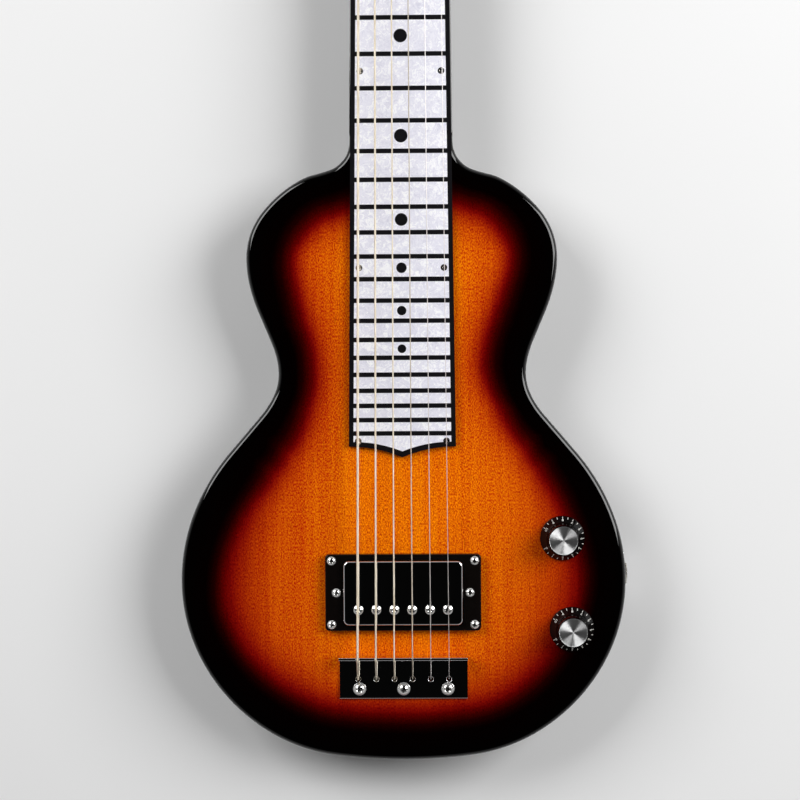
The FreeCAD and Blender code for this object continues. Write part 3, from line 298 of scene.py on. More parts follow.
def carve(bm, cutters):
    # The bmesh less each cutter bmesh, by boolean
    base = scratch(bm, "base")
    tray = bpy.data.collections.new("cutters")
    bpy.context.scene.collection.children.link(tray)
    tools = []
    for cutter in cutters:
        tool = scratch(cutter, "cutter")
        bpy.context.scene.collection.objects.unlink(tool)
        tray.objects.link(tool)
        tools.append(tool)
    cut = base.modifiers.new("cut", "BOOLEAN")
    cut.operation = "DIFFERENCE"
    cut.solver = "EXACT"
    cut.operand_type = "COLLECTION"
    cut.collection = tray
    applyAll(base)
    result = begin()
    result.from_mesh(base.data)
    for item in tools + [base]:
        mesh = item.data
        bpy.data.objects.remove(item)
        bpy.data.meshes.remove(mesh)
    bpy.data.collections.remove(tray)
    return result


# Body and neck

bodyShape = {
    "thickness": 38.0, "edge": 3.0, "backEdge": 3.0, "neckBackEdge": 4.0, "headBackEdge": 1.2,
    "split": 300.5, "step": 2.5, "neckBack": 5.0, "headBack": 15.0, "woodTop": 28.5,
    # Cuts across neck and head: half width, where they start, turn and end along y, and rounding
    "cutHalf": 60.0, "heelFrom": 298.0, "heelRun": 24.0, "headSlope": (576.2, 602.2),
    "nutSlope": (589.25, 606.2), "cutEnd": 760.0, "heelRound": 2.0, "slopeRound": 3.4,
    "nutRound": 1.2, "above": 45.0, "below": -6.0,
    # Pickup recess and its pocket for the legs: half sizes, corner and floor
    "pickupAt": 38.2, "pickupCuts": [(36.2, 20.4, 4, 18), (43.7, 7.2, 3, 11)],
    # Control recess and the seat of its cover, from the back: round ends, radius and top
    "controlEnds": ((92.0, 69.1), (97.4, 16.3)), "controlCuts": [(16.5, 33.0), (20.5, 2.2)],
    # String holes, ferrule heads and ferrules: radius, heights and segments
    "stringGap": 10.53, "stringRow": -12.5,
    "stringCuts": [(1.6, -1, 40, 20), (4.72, -2, 1.31, 40), (4.02, -1, 9.31, 32)],
    "postX": 26, "postRows": (624, 661, 698), "postHole": 4.2, "postClear": 6.0,
    # Flat for the jack plate: made lying down, then turned on its side
    "jackFlat": {"middle": (19, 46.5), "half": (12.3, 15.3), "corner": 3.3, "deep": 12,
                 "x": 126.5, "z": 38},
    # Edges rounded at the back of neck and head: y range and least x, and least y
    "keelFrom": 326.0, "keelTo": 576.5, "keelX": 20.0, "headRimFrom": 606.0,
    # Grid on the flats that carries the sunburst
    "grid": 4.0, "gridSpans": ((-128, 128), (-56, 302)), "gridShift": 0.37,
    # Treble side from tail to crown: x, y and heading in degrees, None where it's worked out
    "stations": [
        (0.0, -60.2, 0.0), (77.4, -44.5, 30.9), (128.7, 44.2, 90.0), (100.4, 118.5, None),
        (81.6, 140.5, None), (71.4, 164.5, 90.0), (75.7, 183.2, None), (82.6, 199.6, None),
        (89.5, 231.1, 90.0), (58.3, 275.9, 151.4), (41.410, 281.5, 161.0), (29.610, 297.5, 90.602),
        (26.548, 592.2, 90.602), (31.0, 608.2, 62.0), (35.0, 622.2, 88.4),
        (37.5, 711.707, 88.4), (0.0, 731.0, 180.0)],
}


def headings(stations):
    # Headings in radians, the missing ones from the straight part they lie on
    filled = []
    for i, (x, y, angle) in enumerate(stations):
        if angle is None:
            a, b = (i, i + 1) if stations[i - 1][2] is not None else (i - 1, i)
            angle = math.degrees(math.atan2(stations[b][1] - stations[a][1],
                                            stations[b][0] - stations[a][0]))
        filled.append((x, y, math.radians(angle)))
    return filled


def sweepTo(bm, vert, heading, target, step):
    # Spins one arc from a vertex to a target point, tangent to heading at its start
    chord = target - vert.co
    turn = 2 * (math.atan2(chord.y, chord.x) - heading)
    turn = (turn + math.pi) % (2 * math.pi) - math.pi
    if abs(turn) < 1e-3:
        made = bmesh.ops.extrude_vert_indiv(bm, verts=[vert])
        made["verts"][0].co = target
        return made["verts"][0], heading
    radius = chord.length / (2 * math.sin(turn / 2))
    centre = vert.co + Vector((-math.sin(heading), math.cos(heading), 0)) * radius
    steps = max(2, math.ceil(abs(radius * turn) / step))
    made = bmesh.ops.spin(bm, geom=[vert], cent=centre, axis=(0, 0, 1), angle=turn, steps=steps,
                          use_duplicate=False)
    last = [g for g in made["geom_last"] if isinstance(g, bmesh.types.BMVert)][0]
    return last, heading + turn


def planOutline(settings):
    # Half outline of tangent arcs, mirrored to a closed loop
    bm = begin()
    stations = headings(settings["stations"])
    vert = bm.verts.new((stations[0][0] * mm, stations[0][1] * mm, 0))
    for (_, _, a), (x1, y1, b) in zip(stations, stations[1:]):
        start = vert.co.copy()
        end = Vector((x1, y1, 0)) * mm
        out = Vector((math.cos(a), math.sin(a), 0))
        into = Vector((math.cos(b), math.sin(b), 0))
        gap = end - start
        together = gap.dot(out + into)
        spread = 2 * (1 - out.dot(into))
        if spread < 1e-9:
            made = bmesh.ops.extrude_vert_indiv(bm, verts=[vert])
            vert = made["verts"][0]
            vert.co = end
            continue
        reach = (math.sqrt(together ** 2 + spread * gap.dot(gap)) - together) / spread
        meet = (start + out * reach + end - into * reach) * 0.5
        vert, heading = sweepTo(bm, vert, a, meet, settings["step"] * mm)
        vert = sweepTo(bm, vert, heading, end, settings["step"] * mm)[0]
        vert.co = end
    for vert in bm.verts:
        if abs(vert.co.x) < 1e-6:
            vert.co.x = 0
    bmesh.ops.mirror(bm, geom=bm.verts[:] + bm.edges[:], merge_dist=1e-6, axis="X")
    bmesh.ops.remove_doubles(bm, verts=bm.verts, dist=1e-6)
    return bm


def bodyCutters(settings):
    wide, above, below = settings["cutHalf"], settings["above"], settings["below"]
    end = settings["cutEnd"]

    def side(points, rounding):
        return prism([(-wide * mm, y * mm, z * mm) for y, z in points], (2 * wide * mm, 0, 0),
                     {k: v * mm for k, v in rounding.items()}, 8)

    heel, neckEnd = settings["heelFrom"], settings["headSlope"][0]
    nutFrom, nutTo = settings["nutSlope"]
    slope = settings["slopeRound"]
    cutters = [
        side([(heel, -1.0), (settings["split"] + settings["heelRun"], settings["neckBack"]),
              (neckEnd, settings["neckBack"]), (settings["headSlope"][1], settings["headBack"]),
              (end, settings["headBack"]), (end, below), (heel, below)],
             {1: settings["heelRound"], 2: slope, 3: slope}),
        side([(nutFrom, 40.0), (nutTo, settings["woodTop"]), (end, settings["woodTop"]),
              (end, above), (nutFrom, above)], {1: settings["nutRound"]}),
    ]
    for halfX, halfY, corner, floor in settings["pickupCuts"]:
        cutters.append(plateRound((0, settings["pickupAt"] * mm), halfX * mm, halfY * mm,
                                  corner * mm, floor * mm, above * mm))
    low, high = [Vector((x, y, 0)) * mm for x, y in settings["controlEnds"]]
    along = (high - low).normalized()
    across = Vector((-along.y, along.x, 0))
    under = Vector((0, 0, 2 * mm))
    for radius, top in settings["controlCuts"]:
        # Two round ends joined by straight sides
        bm = begin()
        vert = bm.verts.new(low + across * radius * mm - under)
        made = bmesh.ops.spin(bm, geom=[vert], cent=low - under, axis=(0, 0, 1),
                              angle=math.pi, steps=24, use_duplicate=False)
        last = [g for g in made["geom_last"] if isinstance(g, bmesh.types.BMVert)][0]
        corner = bmesh.ops.extrude_vert_indiv(bm, verts=[last])["verts"][0]
        corner.co = high - across * radius * mm - under
        bmesh.ops.spin(bm, geom=[corner], cent=high - under, axis=(0, 0, 1),
                       angle=math.pi, steps=24, use_duplicate=False)
        bmesh.ops.contextual_create(bm, geom=bm.verts[:])
        pull(bm, list(bm.faces), (0, 0, (top + 2) * mm))
        bmesh.ops.recalc_face_normals(bm, faces=bm.faces)
        cutters.append(bm)
    for i in range(6):
        place = ((i - 2.5) * settings["stringGap"] * mm, settings["stringRow"] * mm)
        for radius, bottom, top, segments in settings["stringCuts"]:
            cutters.append(drum(place, radius * mm, bottom * mm, top * mm, segments))
    for x in (-settings["postX"], settings["postX"]):
        for y in settings["postRows"]:
            cutters.append(drum((x * mm, y * mm), settings["postHole"] * mm, 10 * mm, 40 * mm, 32))
    jack = settings["jackFlat"]
    (x, y), (halfX, halfY) = jack["middle"], jack["half"]
    flat = plateRound((x * mm, y * mm), halfX * mm, halfY * mm, jack["corner"] * mm, 0,
                      jack["deep"] * mm)
    bmesh.ops.rotate(flat, verts=flat.verts, cent=(0, 0, 0),
                     matrix=Matrix.Rotation(math.pi / 2, 3, "Y"))
    bmesh.ops.translate(flat, verts=flat.verts, vec=(jack["x"] * mm, 0, jack["z"] * mm))
    cutters.append(flat)
    return cutters


# The spray at each y: millimetres by which it ends nearer the rim, on either side, and the share
# of the depth beyond softFrom that counts. Above the neck's start it's black, and the walls of the
# string holes are black as painted shade
burst = {
    "bass": [(-57, 2.0), (-25, 1.5), (6, 3.2), (29, 4.1), (52, 2.4), (76, 0.6), (99, 0.0),
             (122, 3.0), (145, 7.5), (169, 8.0), (192, 7.0), (215, 3.5), (239, 1.8), (262, 5.0),
             (300, 6.0)],
    "treble": [(-57, 1.5), (-25, 1.0), (6, -0.8), (29, 0.8), (52, 2.4), (76, 1.5), (99, 3.4),
               (122, 6.9), (145, 8.9), (169, 4.1), (192, 3.1), (215, 1.7), (239, 2.9), (262, 7.5),
               (300, 8.0)],
    "soft": [(-57, 0.6), (-20, 0.55), (6, 0.48), (29, 0.36), (52, 0.36), (76, 0.48), (99, 0.8),
             (122, 1.0), (300, 1.0)],
    "softFrom": 29.0, "shiftFull": 12.0, "blendHalf": 35, "neckFrom": 310,
    # Painted shade in the string holes: below this height, within this half width and this reach of
    # their row
    "holeShadeBelow": 37.9, "holeShadeHalf": 30, "holeShadeReach": 2,
}


def readAt(table, value):
    # Straight line reading of a small table
    for (x0, y0), (x1, y1) in zip(table, table[1:]):
        if value <= x1:
            share = max(0.0, (value - x0) / (x1 - x0))
            return y0 + (y1 - y0) * share
    return table[-1][1]


def burstDepth(bm, outline, stringRow):
    # Distance from the rim in millimetres, changed as the spray was, kept as an attribute
    tree = KDTree(len(outline))
    for i, point in enumerate(outline):
        tree.insert(point, i)
    tree.balance()
    layer = bm.verts.layers.float.new("rimDepth")
    for vert in bm.verts:
        flatPlace = Vector((vert.co.x, vert.co.y, 0))
        depth = tree.find(flatPlace)[2] / mm
        x, y = vert.co.x / mm, vert.co.y / mm
        # Walls of the string holes get depth 0, so black: painted shade inside the holes
        inShadedHole = (vert.co.z < burst["holeShadeBelow"] * mm and abs(x) < burst["holeShadeHalf"]
                  and abs(y - stringRow) < burst["holeShadeReach"])
        if y > burst["neckFrom"] or inShadedHole:
            depth = 0.0
        share = min(1.0, max(0.0, (x + burst["blendHalf"]) / (2 * burst["blendHalf"])))
        shift = readAt(burst["bass"], y) * (1 - share) + readAt(burst["treble"], y) * share
        depth += shift * min(1.0, depth / burst["shiftFull"])
        beyond = max(0.0, depth - burst["softFrom"])
        vert[layer] = depth - beyond * (1 - readAt(burst["soft"], y))


def buildBody(settings):
    plan = planOutline(settings)
    outline = [v.co.copy() for v in plan.verts]
    bmesh.ops.contextual_create(plan, geom=plan.verts[:] + plan.edges[:])
    pull(plan, list(plan.faces), (0, 0, settings["thickness"] * mm))
    bmesh.ops.recalc_face_normals(plan, faces=plan.faces)
    split = settings["split"] * mm
    bmesh.ops.bisect_plane(plan, geom=plan.verts[:] + plan.edges[:] + plan.faces[:],
                           plane_co=(0, split, 0), plane_no=(0, 1, 0), dist=1e-7)
    touch, bend = 2e-5, 0.9
    for height, size in ((settings["thickness"], settings["edge"]), (0.0, settings["backEdge"])):
        rim = [e for e in plan.edges
               if all(abs(v.co.z - height * mm) < 1e-6 and v.co.y < split + 1e-6 for v in e.verts)
               and not all(abs(v.co.y - split) < 1e-6 for v in e.verts)]
        bmesh.ops.bevel(plan, geom=rim, offset=size * mm, offset_type="OFFSET", segments=6,
                        profile=0.5, affect="EDGES", material=-1, clamp_overlap=True)
    bm = carve(plan, bodyCutters(settings))
    bmesh.ops.remove_doubles(bm, verts=bm.verts, dist=2e-6)
    back = settings["neckBack"] * mm
    keelFrom, keelTo = settings["keelFrom"] * mm, settings["keelTo"] * mm
    keelX, softBend = settings["keelX"] * mm, 0.6
    keel = [e for e in bm.edges if len(e.link_faces) == 2 and e.calc_face_angle(0) > softBend
            and all(abs(v.co.z - back) < touch and keelFrom < v.co.y < keelTo
                    and abs(v.co.x) > keelX for v in e.verts)]
    bmesh.ops.bevel(bm, geom=keel, offset=settings["neckBackEdge"] * mm, offset_type="OFFSET",
                    segments=6, profile=0.5, affect="EDGES", material=-1)
    headBack, rimFrom = settings["headBack"] * mm, settings["headRimFrom"] * mm
    postX, clear = settings["postX"] * mm, settings["postClear"] * mm

    def awayFromPosts(place):
        return all(math.hypot(abs(place.x) - postX, place.y - row * mm) > clear
                   for row in settings["postRows"])

    rim = [e for e in bm.edges if len(e.link_faces) == 2 and e.calc_face_angle(0) > bend
           and all(abs(v.co.z - headBack) < touch and v.co.y > rimFrom and awayFromPosts(v.co)
                   for v in e.verts)]
    bmesh.ops.bevel(bm, geom=rim, offset=settings["headBackEdge"] * mm, offset_type="OFFSET",
                    segments=3, profile=0.5, affect="EDGES", material=-1)
    grid, level, least = settings["grid"], 0.99, 4e-6
    for axis, (low, high) in enumerate(settings["gridSpans"]):
        normal = Vector((1, 0, 0)) if axis == 0 else Vector((0, 1, 0))
        for i in range(math.ceil((high - low) / grid)):
            at = (low + i * grid + settings["gridShift"]) * mm
            near = [f for f in bm.faces
                    if f.normal.z * f.normal.z > level and f.calc_area() > least
                    and min(v.co[axis] for v in f.verts) < at < max(v.co[axis] for v in f.verts)
                    and min(v.co.y for v in f.verts) < split]
            edges = list({e for f in near for e in f.edges})
            verts = list({v for f in near for v in f.verts})
            bmesh.ops.bisect_plane(bm, geom=verts + edges + near, plane_co=normal * at,
                                   plane_no=normal, dist=1e-6)
    burstDepth(bm, outline, settings["stringRow"])
    return bm


# Colours of the spray by depth in millimetres, and how far each noise moves them
lacquer = {
    "deepest": 60,
    "stops": [(0, (1, 1, 1)), (17, (3, 0, 0)), (19.4, (12, 0, 0)), (22.3, (27, 0, 0)),
              (25.2, (56, 1, 0)), (28, (88, 1, 1)), (30.3, (124, 11, 4)), (32, (149, 29, 4)),
              (35.2, (180, 56, 4)), (38.6, (202, 78, 5)), (45, (218, 96, 5)), (60, (234, 114, 5))],
    "haze": 3.0, "speck": 5.4, "grain": 1.2, "figure": 1.7, "redShare": 0.36,
    "poreFrom": 0.62, "poreSlope": 14.0, "poreDepth": 0.30, "poreTint": (120, 60, 40),
}


def sunburst(settings):
    # Lacquered mahogany: black rim through dark red to amber, with fine pores along the grain
    f = Finish(bpy.data.materials.new("sunburstMahogany"))
    rim = f.add("Attribute", {"attribute_name": "rimDepth", "attribute_type": "GEOMETRY"}, {}, "Fac")
    haze = f.noise(f.place((9, 9, 9)), 1.0, 2.0)
    depth = rim + (haze - 0.5) * settings["haze"]
    deepest = settings["deepest"]
    colour = f.ramp(depth / float(deepest),
                    [(at / deepest, srgb(*shade)) for at, shade in settings["stops"]])
    speck = f.noise(f.place((1500, 820, 1500)), 1.0, 2.0, 0.6)
    grain = f.noise(f.place((430, 11, 90)), 1.0, 3.0, 0.6, 0.3)
    figure = f.noise(f.place((19, 1.7, 19)), 1.0, 3.0, 0.5, 0.4)
    tone = ((speck - 0.5) * settings["speck"] + (grain - 0.5) * settings["grain"]
            + (figure - 0.5) * settings["figure"])
    tint = f.add("CombineColor", {}, {0: 1.0 + tone * settings["redShare"],
                                      1: (1.0 + tone).atLeast(0.1), 2: 1.0})
    wood = f.mix(1.0, colour, tint, "MULTIPLY")
    pores = f.noise(f.place((1500, 110, 1500)), 1.0, 2.0, 0.5)
    poreMask = ((pores - settings["poreFrom"]) * settings["poreSlope"]).atLeast(0.0).atMost(1.0)
    stained = f.mix(1.0, wood, srgb(*settings["poreTint"]), "MULTIPLY")
    wood = f.mix(poreMask * settings["poreDepth"], wood, stained)
    wave = f.noise(f.place((26, 26, 26)), 1.0, 2.0)
    return f.surface({"Base Color": wood, "Roughness": 0.5, "Specular IOR Level": 0.0,
                      "Coat Weight": 1.0, "Coat Roughness": 0.025, "Coat IOR": 1.5,
                      "Normal": f.bump(wave + pores * 0.02, 0.06, 0.0005)})


burstWood = sunburst(lacquer)
body = settle(buildBody(bodyShape), "bodyAndNeck", burstWood, "root",
              ["body_neck"])
evenNormals(body)
print("body:", len(body.data.polygons), "faces")


# Finishes of the other pieces

def coated(name, colour, rough, metal=0.0, coat=0.0, vary=0.06, scale=300.0, roughVary=0.05,
           dent=0.0, spread=(1, 1, 1), fixed=None):
    # A finish with a slight cloud in its colour and its gloss
    f = Finish(bpy.data.materials.new(name))
    cloud = f.noise(f.place(spread), scale, 3.0, 0.55)
    deep = tuple(c * (1 - vary) for c in colour)
    light = tuple(min(1.0, c * (1 + vary)) for c in colour)
    values = {"Base Color": f.ramp(cloud, [(0.3, deep), (0.7, light)]),
              "Roughness": rough + (cloud - 0.5) * roughVary, "Metallic": metal, "Coat Weight": coat,
              "Coat Roughness": 0.04}
    if dent:
        values["Normal"] = f.bump(cloud, dent, 0.0002)
    values.update(fixed or {})
    return f.surface(values)


pearlLook = {
    "swirl": 210.0, "bend": 0.007, "flakes": 230.0, "streak": 200.0, "warp": 3.6,
    "flakeShare": 0.16, "streakShare": 0.84,
    "stops": [(0.30, (215, 214, 228)), (0.42, (228, 227, 238)), (0.54, (234, 233, 243)),
              (0.59, (253, 253, 254)), (0.70, (240, 239, 247))],
}


def pearloid(settings):
    # Clouded cell sheet: overlapping flakes, each a little lighter or darker, with soft streaks
    f = Finish(bpy.data.materials.new("pearloid"))
    where = f.place()
    swirl = f.add("TexNoise", {"noise_dimensions": "3D"},
                  {"Vector": where, "Scale": settings["swirl"], "Detail": 2.0}, 1)
    bent = f.add("VectorMath", {"operation": "MULTIPLY_ADD"},
                 {0: swirl, 1: grey(settings["bend"]), 2: where})
    flakes = f.add("TexVoronoi", {"feature": "F1"},
                   {"Vector": bent, "Scale": settings["flakes"]}, 1).part("X")
    streak = f.noise(bent, settings["streak"], 4.0, 0.58, settings["warp"])
    tone = flakes * settings["flakeShare"] + streak * settings["streakShare"]
    colour = f.ramp(tone, [(at, srgb(*shade)) for at, shade in settings["stops"]])
    return f.surface({"Base Color": colour, "Roughness": 0.30 + flakes * 0.12, "Coat Weight": 0.5,
                      "Coat Roughness": 0.08, "Normal": f.bump(tone, 0.12, 0.0003)})


def woundWire(name, low, high):
    # Fine round wraps along the string
    f = Finish(bpy.data.materials.new(name))
    turnsPerMetre = 2600.0
    wrap = (f.place().part("Y") * (turnsPerMetre * 2 * math.pi)).sine()
    tint = f.noise(f.place(), 90.0, 2.0)
    colour = f.ramp(tint, [(0.3, srgb(*low)), (0.7, srgb(*high))])
    return f.surface({"Base Color": colour, "Metallic": 1.0, "Roughness": 0.34 + tint * 0.08,
                      "Normal": f.bump(wrap, 0.35, 0.00008)})


def spunMetal():
    # Turned aluminium, its highlights drawn out across the turning marks
    f = Finish(bpy.data.materials.new("spunMetal"))
    cloud = f.noise(f.place(), 700.0, 2.0)
    return f.surface({"Base Color": f.ramp(cloud, [(0.3, grey(0.80)), (0.7, grey(0.86))]),
                      "Metallic": 1.0, "Roughness": 0.33 + cloud * 0.04, "Anisotropic": 0.97})


chrome = coated("chrome", (0.78, 0.785, 0.80), 0.05, 1.0, vary=0.02, roughVary=0.03)
screwChrome = coated("screwChrome", (0.80, 0.79, 0.77), 0.16, 1.0, vary=0.03, scale=700.0,
                     roughVary=0.06)
nickel = coated("nickel", (0.70, 0.67, 0.61), 0.17, 1.0, vary=0.04, roughVary=0.08)
steel = coated("steel", (0.60, 0.60, 0.61), 0.30, 1.0, vary=0.05, scale=500.0, roughVary=0.10)
moulded = coated("mouldedBlack", srgb(11, 8, 7), 0.24, coat=0.15, vary=0.10, scale=400.0,
                 dent=0.02, fixed={"Specular IOR Level": 0.1})
boardBlack = coated("boardBlack", srgb(13, 12, 15), 0.34, coat=0.2, vary=0.10, spread=(1, 0.15, 1),
                    fixed={"Specular IOR Level": 0.2})
headBlack = coated("headBlack", srgb(7, 6, 6), 0.30, coat=1.0, vary=0.10, scale=60.0,
                   fixed={"Specular IOR Level": 0.0})
knobBlack = coated("knobBlack", srgb(8, 6, 6), 0.16, coat=0.4, vary=0.10,
                   fixed={"Specular IOR Level": 0.0})
dialWhite = coated("dialWhite", srgb(222, 220, 214), 0.45, vary=0.03)
bone = coated("bone", srgb(226, 219, 196), 0.30, coat=0.2, vary=0.04, spread=(0.2, 1, 1))
cream = coated("buttonCream", srgb(228, 220, 190), 0.24, coat=0.4, vary=0.05, scale=90.0)
copper = coated("enamelledCopper", (0.55, 0.22, 0.12), 0.35, 1.0, scale=900.0)
magnet = coated("groundMagnet", (0.22, 0.22, 0.23), 0.45, 0.8, scale=900.0)
rubber = coated("rubber", srgb(26, 25, 25), 0.75)
brass = coated("brass", (0.74, 0.58, 0.30), 0.26, 1.0, scale=600.0)
ceramic = coated("ceramic", srgb(150, 88, 40), 0.5)
wireCover = coated("wireCover", srgb(34, 34, 36), 0.45)
plainWire = coated("plainWire", (0.74, 0.70, 0.68), 0.40, 1.0, vary=0.02)
pearl = pearloid(pearlLook)
wound = woundWire("woundWire", (214, 200, 176), (232, 222, 204))
woundFine = woundWire("woundFine", (176, 164, 148), (200, 190, 176))
spun = spunMetal()

painted = {
    pearl: ["pearl_panels"],
    chrome: ["pickup_cover", "string_ferrules"],
    nickel: ["pickup_baseplate", "pot_nuts", "output_jack", "tuner_bushings"]
    + ["tuner_post_%d" % (i + 1) for i in range(6)],
    steel: ["slug_poles", "keeper_bar", "pot_cases"],
    moulded: ["coil_bobbins", "pickup_ring"], boardBlack: ["fretboard"],
    copper: ["coil_windings"], magnet: ["bar_magnet"], rubber: ["height_sleeves"],
    brass: ["volume_pot_shaft", "tone_pot_shaft"], ceramic: ["tone_capacitor"],
    wireCover: ["hookup_wires"], cream: ["tuner_button_%d" % (i + 1) for i in range(6)],
    wound: ["string_1", "string_2", "string_3"], woundFine: ["string_4"],
    plainWire: ["string_5", "string_6"],
}
for finish, names in painted.items():
    for name in names:
        nodes[name].data.materials.clear()
        nodes[name].data.materials.append(finish)
print("finishes made")


# Pieces with eased edges, from merged copies of the modelled ones

def eased(name, material, size):
    # A narrow bevel on every outer edge sharper than the least angle
    least = math.radians(50.0)
    bm = begin()
    bm.from_mesh(nodes[name].data)
    bmesh.ops.remove_doubles(bm, verts=bm.verts, dist=2e-6)
    bmesh.ops.dissolve_limit(bm, angle_limit=math.radians(0.8), verts=bm.verts, edges=bm.edges)
    edges = [e for e in bm.edges if len(e.link_faces) == 2
             and e.calc_face_angle(0) > least and e.is_convex]
    bmesh.ops.bevel(bm, geom=edges, offset=size * mm, offset_type="OFFSET", segments=2,
                    profile=0.5, affect="EDGES", material=-1, clamp_overlap=False)
    piece = settle(bm, name + "Eased", material, nodes[name]["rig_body"], [name])
    evenNormals(piece)


# Name, finish, slot and size of the bevel
easedPieces = [
    ("bridge_plate", chrome, "chrome", 0.12), ("nut", bone, "bone", 0.25),
    ("jack_plate", chrome, "chrome", 0.25), ("jack_nut", nickel, "nickel", 0.2),
    ("control_cover", moulded, "black_plastic", 0.3), ("tuner_plates", nickel, "nickel", 0.15),
    ("head_veneer", headBlack, "head_black", 0.25),
]
for name, material, slot, size in easedPieces:
    eased(name, material, size)
print("eased pieces made")


# Screws with a cross recess

def islands(name):
    # Lowest and highest corner of each solid of a modelled node
    bm = begin()
    bm.from_mesh(nodes[name].data)
    bmesh.ops.remove_doubles(bm, verts=bm.verts, dist=2e-6)
    unseen = set(bm.verts)
    boxes = []
    while unseen:
        group = [unseen.pop()]
        for vert in group:
            for edge in vert.link_edges:
                other = edge.other_vert(vert)
                if other in unseen:
                    unseen.remove(other)
                    group.append(other)
        low = Vector([min(v.co[k] for v in group) for k in range(3)])
        high = Vector([max(v.co[k] for v in group) for k in range(3)])
        boxes.append((low, high))
    bm.free()
    return sorted(boxes, key=lambda b: (round(b[0].y, 4), round(b[0].x, 4)))


# The cross as shares of the head's radius, its depth also of the dome, and how far it narrows
crossRecess = {"arm": 0.66, "half": 0.15, "headShare": 0.28, "domeShare": 0.5, "taper": 0.62}


def crossScrew(head, dome, shank, length, steps):
    # A turned screw, its head up and seated at zero, with a tapered cross cut into it
    if dome:
        sphere = (head ** 2 + dome ** 2) / (2 * dome)
        spread = math.asin(min(1.0, head / sphere))
        leans = [spread * (1 - i / 6) for i in range(6)]
        arc = [(sphere * math.sin(a), dome - sphere + sphere * math.cos(a)) for a in leans]
        arc.append((0.0, dome))
        profile = [(0, -length), (shank, shank - length), (shank, 0), (head * 0.96, 0)] + arc
    else:
        profile = [(0, -length), (shank, shank - length), (shank, shank - head), (head, -0.1),
                   (head - 0.1, 0), (0, 0)]
    bm = lathe([(r * mm, z * mm) for r, z in profile], steps)
    arm, half = head * crossRecess["arm"] * mm, head * crossRecess["half"] * mm
    top = dome * mm
    deep = (dome * crossRecess["domeShare"] + head * crossRecess["headShare"]) * mm
    cutter = begin()
    corners = []
    for k in range(4):
        turn = Matrix.Rotation(k * math.pi / 2, 4, "Z")
        for x, y in ((arm, -half), (arm, half), (half, half)):
            corners.append(cutter.verts.new(turn @ Vector((x, y, top + 1 * mm))))
    cutter.faces.new(corners)
    low = pull(cutter, list(cutter.faces), (0, 0, -1 * mm - deep))
    bmesh.ops.scale(cutter, verts=low, vec=(crossRecess["taper"], crossRecess["taper"], 1.0))
    bmesh.ops.recalc_face_normals(cutter, faces=cutter.faces)
    return carve(bm, [cutter])


smallDome = {"head": 2.6, "dome": 1.3, "shank": 1.3, "steps": 24, "slot": "chrome"}
screwKinds = {
    "ring_screws": smallDome, "height_screw_bass": smallDome, "height_screw_treble": smallDome,
    "bridge_screws": {"head": 3.8, "dome": 2.4, "shank": 1.9, "steps": 32, "slot": "chrome"},
    "pole_screws": {"head": 2.8, "dome": 1.0, "shank": 1.5, "steps": 24, "slot": "chrome"},
    "fretboard_screws": {"head": 2.0, "dome": 0.0, "shank": 1.2, "steps": 20, "slot": "steel",
                         "shine": screwChrome},
    "jack_plate_screws": {"head": 2.2, "dome": 0.0, "shank": 1.2, "steps": 20, "face": "X",
                          "slot": "chrome"},
    "cover_screws": {"head": 1.9, "dome": 0.0, "shank": 0.9, "steps": 20, "face": "-Z",
                     "slot": "steel"},
    "tuner_screws": {"head": 2.2, "dome": 1.1, "shank": 1.2, "steps": 16, "face": "-Z",
                     "slot": "nickel"},
}


def sown(mesh, places):
    # Copies of one mesh at several places, in one bmesh
    total = begin()
    for place in places:
        copy = mesh.copy()
        copy.transform(place)
        total.from_mesh(copy)
        bpy.data.meshes.remove(copy)
    bpy.data.meshes.remove(mesh)
    return total


# How a screw is turned to its face, the axis it lies on and the way its head looks
facing = {"Z": (Matrix.Identity(4), 2, 1), "-Z": (Matrix.Rotation(math.pi, 4, "X"), 2, -1),
          "X": (Matrix.Rotation(math.pi / 2, 4, "Y"), 0, 1)}
slotFinish = {"steel": steel, "nickel": nickel, "chrome": screwChrome}
firstTurn, nextTurn = 0.5, 2.4
for name, kind in screwKinds.items():
    turnTo, axis, way = facing[kind.get("face", "Z")]
    solids = islands(name)
    low, high = solids[0]
    span = (high[axis] - low[axis]) / mm
    screw = crossScrew(kind["head"], kind["dome"], kind["shank"], span - kind["dome"],
                       kind["steps"])
    places = []
    for i, (low, high) in enumerate(solids):
        seat = (low + high) / 2
        end = high if way > 0 else low
        seat[axis] = end[axis] - way * kind["dome"] * mm
        spin = Matrix.Rotation(i * nextTurn + firstTurn, 4, "Z")
        places.append(Matrix.Translation(seat) @ turnTo @ spin)
    metal = kind.get("shine", slotFinish[kind["slot"]])
    settle(sown(asMesh(screw, name), places), name + "Cut", metal, nodes[name]["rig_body"],
           [name], 28.0)
print("screws made")


# Knobs with a numbered dial

knobShape = {
    "centres": {"volume": (92.0, 69.1), "tone": (97.4, 16.3)}, "seat": 38.5, "segments": 96,
    "profile": [(0, 12.0), (3.05, 12.0), (3.05, 4.0), (8.4, 4.0), (10.75, 0.15), (11.0, 0.0),
                (12.5, 0.0), (12.78, 0.12), (12.9, 0.40), (12.9, 1.05), (12.82, 1.38),
                (12.60, 1.82), (9.80, 5.70), (9.48, 6.22), (9.32, 6.90), (9.22, 7.90),
                (8.78, 15.60), (8.72, 15.88), (8.55, 16.0), (8.25, 16.0), (8.25, 15.1), (0, 15.1)],
    "cap": [(0, 15.1), (8.12, 15.1), (8.15, 15.13), (8.15, 15.86), (8.10, 15.92), (8.02, 15.90),
            (7.96, 15.86), (6.0, 15.68), (4.0, 15.49), (2.0, 15.31), (0.2, 15.14), (0, 15.13)],
    # Dial: the skirt's slope, angles, and where ticks and digits stand along it
    "slope": ((12.60, 1.82), (9.80, 5.70)), "first": -150.0, "step": 30.0, "marks": 11,
    "tick": (0.34, 1.7), "tickAt": 1.15, "digitAt": 3.15, "digitSize": 2.5, "proud": 0.03,
}


